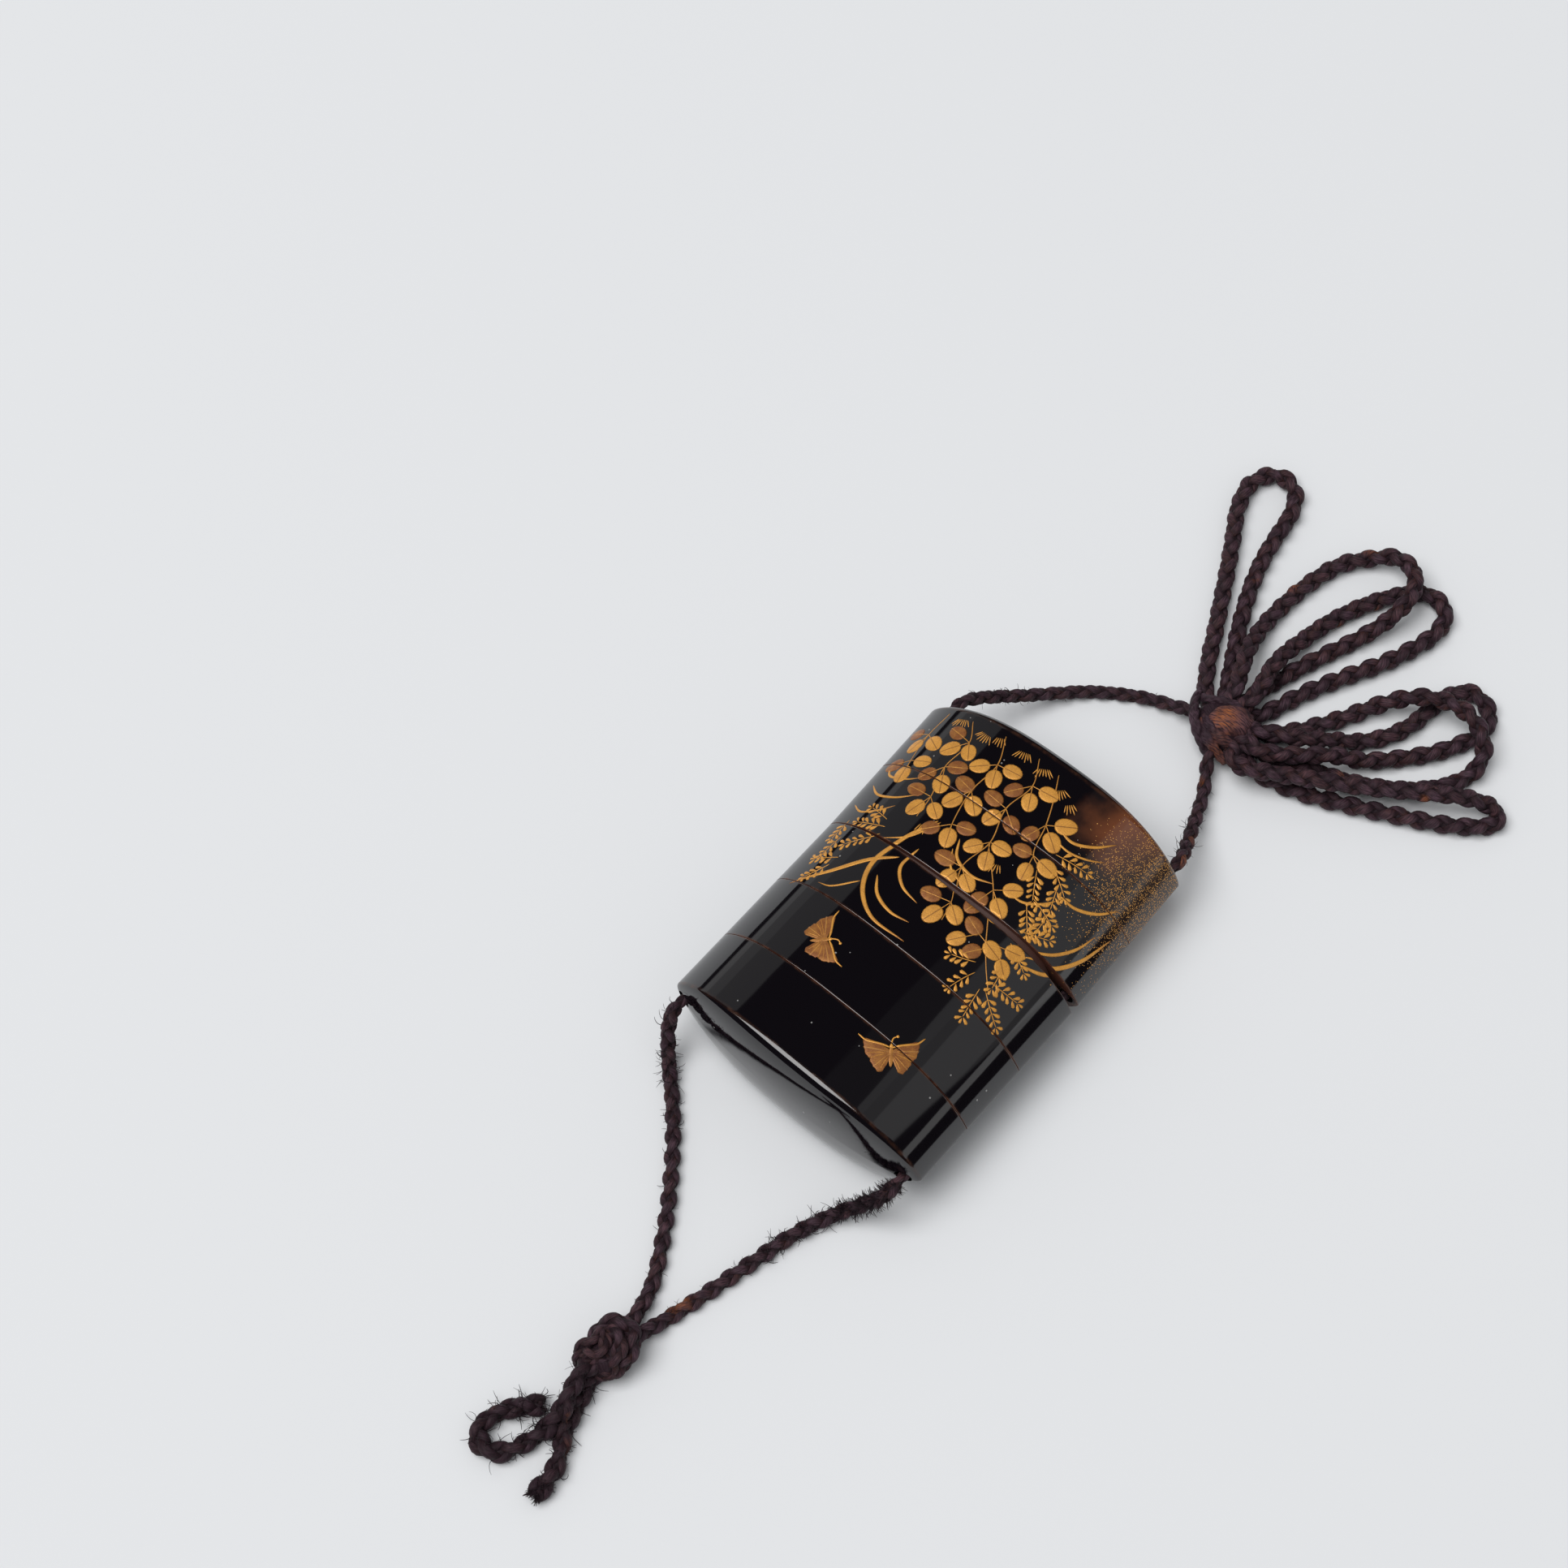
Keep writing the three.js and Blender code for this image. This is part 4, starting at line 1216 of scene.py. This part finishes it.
# Grass blades: their points, and their greatest width.
BLADES = (
    ([(-11, 15), (-14, 8), (-15.3, 1), (-13, -4.5), (-8, -8), (0, -8)], 1.05),
    ([(-10.4, 15), (-13.5, 9), (-17.5, 6)], 0.5),
    ([(-12, 5), (-16, 1.5), (-21, -5), (-26, -10.5)], 0.95),
    ([(-14.5, -3.4), (-18.5, -7.5), (-21, -8)], 0.45),
    ([(-10.2, 8), (-10.5, 3.6), (-7.6, 0.6), (-3.2, -0.4)], 0.75),
    ([(-12.8, -0.5), (-10.2, -3.6), (-6, -5), (-1.8, -4.4)], 0.75),
    ([(-5.4, 14.4), (-3.4, 11), (1, 9.7), (5.4, 11)], 0.7),
    ([(-5.2, 12), (-3, 8.6), (0.6, 7.4), (3.6, 8)], 0.5),
    ([(8, 28), (11.4, 27.4), (15, 29.4), (18, 33)], 0.7),
    ([(8.2, 25.8), (12, 25.4), (15.6, 26.6), (18.4, 28.6)], 0.5),
    ([(16.2, 17.5), (19.4, 17.6), (23, 20), (25.6, 24)], 0.7),
    ([(9, 11.4), (11.6, 11.6), (14.4, 13.6), (16.4, 16.4)], 0.6),
    ([(19, 3.4), (23, 5.6), (26, 11), (27.6, 19)], 0.9),
    ([(18.6, 5.2), (22, 8), (24.4, 12.4), (25.4, 17)], 0.7),
    ([(-27.6, 16.4), (-25, 14.4), (-21.4, 15), (-18, 17.4)], 0.6),
    ([(-27.8, 11), (-25.4, 9.6), (-22.4, 11), (-20, 13.4)], 0.5),
    ([(-27.6, 22), (-26, 19.4), (-22.4, 19.6), (-20, 21)], 0.6),
)

# Blossom sprigs: the foot's place, heading in degrees, length and how many pairs of petals.
SPRIGS = (
    (-18.6, 8.4, -168, 5.6, 5), (-18.4, 6.6, -135, 6.0, 5), (-19.4, 10, 165, 4.4, 4),
    (-21.6, -1.4, -155, 4.6, 4), (-22, -3.6, -120, 4.6, 4), (-24.6, 3, -100, 4.8, 4), (-26, 7, -95, 4.4, 4),
    (10.6, 23.4, 12, 6.0, 5), (11, 21.6, -30, 6.4, 5), (9.8, 18.6, -62, 5.6, 5), (14.6, 19, -70, 4.6, 4),
    (12.8, 13.6, -14, 5.4, 5), (12.4, 12.0, -52, 5.4, 5), (16.6, 13.4, -80, 4.4, 4),
    (14.6, 6.8, 22, 5.4, 5), (15, 5.2, -24, 5.4, 5), (16.8, 1.2, -74, 4.6, 4),
    (17.2, -3.2, 8, 5.6, 5), (17.6, -5.2, -34, 6.0, 5), (16.4, -5.6, -80, 5.6, 5), (13.8, -3.8, -112, 5.0, 4),
    (12.6, -2.2, -152, 4.2, 4),
)

# Fans of short dashes at the sprays' heads: place, heading in degrees and count.
FANS = (
    (-21.5, 36.6, -80, 7), (-15.4, 35.8, -95, 7), (-12.6, 36.6, -70, 5), (-7, 36.8, -75, 7),
    (-2, 36.2, -60, 7), (3, 34.4, -50, 7), (6.4, 33.2, -45, 5), (-12.8, 12.6, -82, 4), (3.4, 14.6, -70, 4),
)

# Butterflies: place, heading in degrees and scale. The parts of one are given by their angle from
# its heading and their distance from its middle; a wing also by its breadth, its scallops and its lean.
BUTTERFLIES = ((-11.6, -17.2, 43, 0.95), (12.4, -26.3, 128, 1.0))
WINGS = ((83, 5.3, 4.6, 14, 0.3), (133, 4.5, 4.3, 12, -0.1))
WING_EDGE = ((10, 0.9), (46, 1.9), (62, 3.6), (67, 5.2), (63, 7.0))
WING_VEINS = ((82, 4.6), (96, 4.7), (110, 4.2), (134, 4.0), (150, 3.8))
FEELER = ((0, 0.5), (-12, 1.6), (-30, 2.2))


def flat_place(x, y):
    """The flat drawing's point for a point at x and y on the case, seen from the front."""
    return Vector((math.copysign(np.interp(abs(x), HALF_ACROSS, HALF_RUN), x), y, 0))


def flat_heading(degrees, reach=1.0):
    """A step of the flat drawing in a heading."""
    return Vector((math.cos(math.radians(degrees)), math.sin(math.radians(degrees)), 0)) * reach


def on_surface(run):
    """The place across and the height of the front at a distance over its curve."""
    return np.array((np.interp(run, HALF_RUN, HALF_ACROSS), np.interp(run, HALF_RUN, HALF_HEIGHT)))


def lay_on_case(point):
    """Where a point of the flat drawing lies on the case, lifted along the surface's normal."""
    run = abs(point.x)
    x, z = on_surface(run)
    ahead = Vector(on_surface(run + SURFACE_STEP) - on_surface(max(run - SURFACE_STEP, 0))).normalized()
    side = math.copysign(1, point.x)
    return Vector((side * (x - ahead.y * point.z), point.y, z + ahead.x * point.z))


def gilt_height():
    """How far the gold stands above the lacquer, in millimetres."""
    return bpy.context.scene.inro_case.relief / MM


def plate(bm, centre, heading, size, tone, shape=None, sides=16, rings=6):
    """A thin raised plate of gold at a place, along a heading in degrees, shaped from an ellipse."""
    tones = point_layer(bm, "tone")
    uv = bm.loops.layers.uv.verify()
    made = bmesh.ops.create_uvsphere(bm, u_segments=sides, v_segments=rings, radius=1)["verts"]
    ahead = flat_heading(heading)
    aside = flat_heading(heading + 90)
    for vert in made:
        along, across, up = vert.co
        for loop in vert.link_loops:
            loop[uv].uv = (along / 2 + 0.5, across / 2 + 0.5)
        if shape:
            along, across = shape(along, across)
        vert.co = centre + ahead * (along * size[0] / 2) + aside * (across * size[1] / 2)
        vert.co.z = math.copysign(abs(up) ** 0.6, up) * gilt_height()
        vert[tones] = tone


def stroke(bm, points, width, tip=0.25, tone=0.9, tip_tone=0.9, height=0.8):
    """A raised line of gold through points of the flat drawing, widest before its middle."""
    path = smooth_path(points, STROKE_STEP)
    _, normals, binormals = path_frames(path)
    share = np.linspace(0, 1, len(path))
    half = width / 2 * (tip + (1 - tip) * np.sin(np.pi * share ** 0.8) ** 0.7)
    rings = tube_rings(path, binormals, normals, half[:, None], gilt_height() * height, STROKE_SIDES)
    sweep(bm, rings, {"tone": tone + (tip_tone - tone) * np.clip(share * 4 - 3, 0, 1)})


def leaf_shape(along, across):
    """An oval, a little broader towards its foot."""
    return along, across * (1 - 0.08 * along)


def petal_shape(along, across):
    """A drop, round at its far end and pointed at its foot."""
    return along, across * (0.52 + 0.48 * along)


def wing_shape(lobes, lean):
    """A wing: narrow at its root, blunt and scalloped at its far edge, which leans forward."""
    def shape(along, across):
        reach = math.hypot(along, across)
        angle = math.atan2(across, along)
        square = (abs(math.cos(angle)) ** 3.4 + abs(math.sin(angle)) ** 3.4) ** (-1 / 3.4)
        scallop = 1 + 0.035 * math.cos(lobes * angle) * reach ** 4
        along = along * square * scallop
        across = across * square * scallop * (0.16 + 0.84 * (along + 1) / 2)
        return along + lean * across * (along + 1) / 2, across
    return shape


def leaf_places():
    """Feet, headings and tones of all leaves, eased apart where trefoils come close."""
    rng = random.Random(4)
    size = bpy.context.scene.inro_case.leaf_length / MM
    leaves = []
    for x, y, heading, gold in TREFOILS:
        foot = flat_place(x, y)
        for leaf, lean in enumerate((0, LEAF_SPREAD, -LEAF_SPREAD)):
            away = size * rng.uniform(0.8, 0.86)
            centre = foot + flat_heading(heading + lean + rng.uniform(-6, 6), away)
            tone = rng.uniform(0.86, 1.0) if leaf < gold else rng.uniform(0.0, 0.12)
            leaves.append([foot, centre, tone, size * rng.uniform(0.9, 1.06)])
    for _ in range(EASING_ROUNDS):
        for one, other in itertools.combinations(leaves, 2):
            apart = other[1] - one[1]
            overlap = 0.47 * (one[3] + other[3]) - apart.length
            if overlap > 0:
                push = apart.normalized() * overlap * 0.25
                one[1] = one[1] - push
                other[1] = other[1] + push
    return leaves


def draw_leaves(bm):
    """Three leaves round the foot of each trefoil."""
    for foot, centre, tone, size in leaf_places():
        heading = math.degrees(math.atan2(centre.y - foot.y, centre.x - foot.x))
        plate(bm, centre, heading, (size, size * 0.78), tone, leaf_shape)


def draw_stems(bm):
    """Stems of the sprays and their leaves, the grass blades, and the fans of dashes."""
    for stem in SPRAYS:
        stroke(bm, [flat_place(*place[:2]) for place in stem], 0.26, tip=0.6, tone=0.6, tip_tone=0.6)
    for foot, centre, tone, _ in leaf_places():
        stroke(bm, [foot, (foot + centre) / 2, centre], 0.2, tip=0.8, tone=0.7)
        if tone < 0.5:
            vein = [foot.lerp(centre, share) for share in (0.5, 1.0, 1.45)]
            stroke(bm, vein, 0.22, tip=0.6, tone=0.75, tip_tone=0.75, height=1.3)
    for points, width in BLADES:
        stroke(bm, [flat_place(*point) for point in points], width, tip=0.15, tip_tone=0.3)
    rng = random.Random(9)
    for x, y, heading, count in FANS:
        for number in range(count):
            from_middle = number - (count - 1) / 2
            spread = from_middle * FAN_ANGLE + rng.uniform(-4, 4)
            foot = flat_place(x, y) + flat_heading(heading + 90, from_middle * 0.34)
            tip = foot + flat_heading(heading + spread, rng.uniform(1.5, 2.2))
            stroke(bm, [foot, (foot + tip) / 2, tip], 0.26, tip=0.5, tone=0.8, tip_tone=0.6)


def draw_blossoms(bm):
    """Sprigs of small drop-shaped petals in pairs."""
    rng = random.Random(12)
    for x, y, heading, reach, pairs in SPRIGS:
        bend = rng.uniform(-16, 16)
        foot = flat_place(x, y)
        points = [foot]
        step = 1.12 * reach / pairs
        for number in range(pairs):
            foot = foot + flat_heading(heading, step)
            points.append(foot)
            grow = rng.uniform(0.95, 1.15) - 0.3 * number / pairs
            for side in (-1, 1):
                lean = heading + side * rng.uniform(40, 58)
                place = foot + flat_heading(lean, 1.05 * grow)
                plate(bm, place, lean, (1.85 * grow, 1.3 * grow), rng.uniform(0.85, 1.0), petal_shape, 8, 4)
            heading += bend / pairs
        plate(bm, foot + flat_heading(heading, 0.9), heading, (1.3, 0.9), 0.95, petal_shape, 8, 4)
        stroke(bm, points, 0.2, tip=0.7)


def draw_wings(bm):
    """Two butterflies, each with a fore and a hind wing at either side of a slim body."""
    for x, y, heading, scale in BUTTERFLIES:
        middle = flat_place(x, y)
        for side in (-1, 1):
            for lean, reach, breadth, lobes, skew in WINGS:
                turned = heading + side * lean
                centre = middle + flat_heading(turned, reach * 0.47 * scale)
                shape = wing_shape(lobes, -side * skew)
                plate(bm, centre, turned, (reach * scale, breadth * scale), 0.1, shape, 36, 8)
        plate(bm, middle - flat_heading(heading, 0.7 * scale), heading, (4.4 * scale, 0.9 * scale), 0.3)


def draw_wing_lines(bm):
    """Leading edges, veins, curled feelers and eyes of the butterflies."""
    for x, y, heading, scale in BUTTERFLIES:
        middle = flat_place(x, y)
        for side in (-1, 1):
            def line(*places):
                return [middle + flat_heading(heading + side * lean, reach * scale) for lean, reach in places]
            stroke(bm, line(*WING_EDGE), 0.5, tip=0.35, height=1.2)
            for lean, reach in WING_VEINS:
                vein = line((lean, 1.0), (lean - 2, reach * 0.6), (lean, reach))
                stroke(bm, vein, 0.22, tip=0.4, tone=0.6, tip_tone=0.6, height=1.3)
        head = middle + flat_heading(heading, 1.2 * scale)
        curl = [head + flat_heading(heading + turn, reach * scale) for turn, reach in FEELER]
        stroke(bm, [head, *curl], 0.3, tip=0.7, tone=1.0)
        plate(bm, curl[-1], 0, (0.6, 0.6), 1.0, sides=8, rings=4)
        plate(bm, head, heading, (0.9 * scale, 0.7 * scale), 0.9, sides=8, rings=4)


def section_part(drawing, low, high):
    """The part of a flat drawing that lies between two seams, closed where it is cut."""
    bm = drawing.copy()
    margin = SEAM_GAP / 2 + BEVEL
    for limit, keep in ((low, -1), (high, 1)):
        if limit is not None:
            bmesh.ops.bisect_plane(
                bm, geom=[*bm.verts, *bm.edges, *bm.faces], plane_co=(0, limit - keep * margin, 0),
                plane_no=(0, keep, 0), clear_outer=True,
            )
    close_up(bm)
    return bm


class INRO_OT_decoration(bpy.types.Operator):
    """Gold sprays, grasses, blossoms and butterflies, cut at the seams and laid on each section"""

    bl_idname = "inro.decoration"
    bl_label = "Gold decoration"

    def execute(self, context):
        settings = context.scene.inro_case
        leaf = gilt_material("leaf_gold", settings, True)
        line = gilt_material("line_gold", settings, False)
        kinds = (
            ("stems", draw_stems, line), ("leaves", draw_leaves, leaf), ("blossoms", draw_blossoms, line),
            ("wings", draw_wings, leaf), ("wing_lines", draw_wing_lines, line),
        )
        for kind, draw, material in kinds:
            drawing = bmesh.new()
            draw(drawing)
            for name, low, high, turn in SECTIONS:
                bm = section_part(drawing, low, high)
                if not bm.faces:
                    bm.free()
                    continue
                for vert in bm.verts:
                    vert.co = lay_on_case(vert.co)
                place_in_case(bm, turn)
                to_object(bm, f"gold_{kind}_{name}", material)
            drawing.free()
        return {"FINISHED"}


# ---- Stage -------------------------------------------------------------------------------------
# Places are in millimetres.
CAMERA_PLACE = (153.3, -218.6, 605.3)
CAMERA_TARGET = (-46.1, 11.1, 0.0)
LIGHTS_TARGET = (0, 0, 10)
SENSOR_WIDTH = 36
TABLE_SIZE = 2000
KEY_PLACE = (-1400, -1830, 6000)
KEY_SIZE = (4600, 4600)
MIRRORED_SKY = 0.018  # strength of the room's light in reflections
SKY_COLOUR = (0.97, 0.985, 1.0, 1)

# Lights that only show as reflections: place, size and power.
GLOSSY_LIGHTS = {
    "left_panel": ((-900, 335, 500), (700, 760), 0.38),
    "left_glow": ((-930, 300, 270), (800, 300), 0.07),
    "left_low_glow": ((-940, 300, 165), (800, 120), 0.055),
    "left_lowest_glow": ((-945, 300, 120), (800, 50), 0.03),
    "right_panel": ((538, 351, 599), (420, 960), 0.3),
    "right_core": ((525, 342, 585), (400, 460), 0.1),
    "right_strip": ((900, 340, 310), (900, 130), 0.26),
    "overhead_glow": ((120, 380, 860), (420, 800), 0.045),
}


def look_at(obj, place, target):
    """Puts an object at a place, in millimetres, with its -Z axis towards a target."""
    obj.location = Vector(place) * MM
    obj.rotation_euler = (Vector(target) - Vector(place)).to_track_quat("-Z", "Y").to_euler()


def soft_light(name, place, size, power, diffuse=True):
    """A rectangular soft light that faces the case."""
    data = bpy.data.lights.new(name, "AREA")
    data.shape = "RECTANGLE"
    data.size, data.size_y = (side * MM for side in size)
    data.energy = power
    made = new_object(name, data)
    look_at(made, place, LIGHTS_TARGET)
    made.visible_diffuse = diffuse
    made.visible_camera = False


def add_table(settings):
    """The pale table top."""
    bm = bmesh.new()
    bmesh.ops.create_grid(bm, x_segments=8, y_segments=8, size=TABLE_SIZE)
    mesh = to_mesh(bm, "table")
    material, tree, shader = new_material("pale_table")
    looks = {"Base Color": (*settings.floor, 1), "Roughness": 0.9, "Specular IOR Level": 0.1}
    feed(tree, shader, looks)
    mesh.materials.append(material)
    new_object("table", mesh)


def add_camera(settings):
    """The camera above the table."""
    data = bpy.data.cameras.new("camera")
    data.lens = settings.lens
    data.sensor_width = SENSOR_WIDTH
    data.clip_start = 0.01
    camera = new_object("camera", data)
    look_at(camera, CAMERA_PLACE, CAMERA_TARGET)
    bpy.context.scene.camera = camera


def add_sky(settings):
    """The room's even light, which shows much darker in reflections."""
    world = bpy.data.worlds.new("studio")
    world.use_nodes = True
    tree = world.node_tree
    tree.nodes.clear()
    rays = add_node(tree, "ShaderNodeLightPath")
    strength = mix_value(tree, rays.outputs["Is Glossy Ray"], settings.fill, MIRRORED_SKY)
    sky = add_node(tree, "ShaderNodeBackground", {"Strength": strength, "Color": SKY_COLOUR})
    add_node(tree, "ShaderNodeOutputWorld", {"Surface": sky.outputs[0]})
    bpy.context.scene.world = world


class INRO_OT_stage(bpy.types.Operator):
    """Pale table, soft lights and the camera"""

    bl_idname = "inro.stage"
    bl_label = "Stage"

    def execute(self, context):
        settings = context.scene.inro_stage
        add_table(settings)
        add_camera(settings)
        add_sky(settings)
        context.scene.view_settings.view_transform = "Standard"
        soft_light("key", KEY_PLACE, KEY_SIZE, settings.key)
        for name, light in GLOSSY_LIGHTS.items():
            soft_light(name, *light, diffuse=False)
        return {"FINISHED"}


# ---- Add-on ------------------------------------------------------------------------------------
OPERATORS = (
    INRO_OT_stage, INRO_OT_cords, INRO_OT_bow, INRO_OT_tails, INRO_OT_knots, INRO_OT_fibres,
    INRO_OT_sections, INRO_OT_decoration,
)


class INRO_PT_panel(bpy.types.Panel):
    """Lists the inro's pieces and its settings"""

    bl_idname = "INRO_PT_panel"
    bl_label = "Inro Case"
    bl_space_type = "VIEW_3D"
    bl_region_type = "UI"
    bl_category = "Inro"

    def draw(self, context):
        for operator in OPERATORS:
            self.layout.operator(operator.bl_idname)
        for settings in (context.scene.inro_case, context.scene.inro_cord, context.scene.inro_stage):
            box = self.layout.box()
            for name in settings.__annotations__:
                box.prop(settings, name)


SETTINGS = (("inro_case", INRO_PG_case), ("inro_cord", INRO_PG_cord), ("inro_stage", INRO_PG_stage))


def register():
    for name, kind in SETTINGS:
        bpy.utils.register_class(kind)
        setattr(bpy.types.Scene, name, bpy.props.PointerProperty(type=kind))
    for kind in (*OPERATORS, INRO_PT_panel):
        bpy.utils.register_class(kind)


def unregister():
    for kind in (INRO_PT_panel, *reversed(OPERATORS)):
        bpy.utils.unregister_class(kind)
    for name, kind in reversed(SETTINGS):
        delattr(bpy.types.Scene, name)
        bpy.utils.unregister_class(kind)


def main():
    """Builds everything."""
    register()
    for operator in OPERATORS:
        group, name = operator.bl_idname.split(".")
        getattr(getattr(bpy.ops, group), name)()


if __name__ == "__main__":
    main()
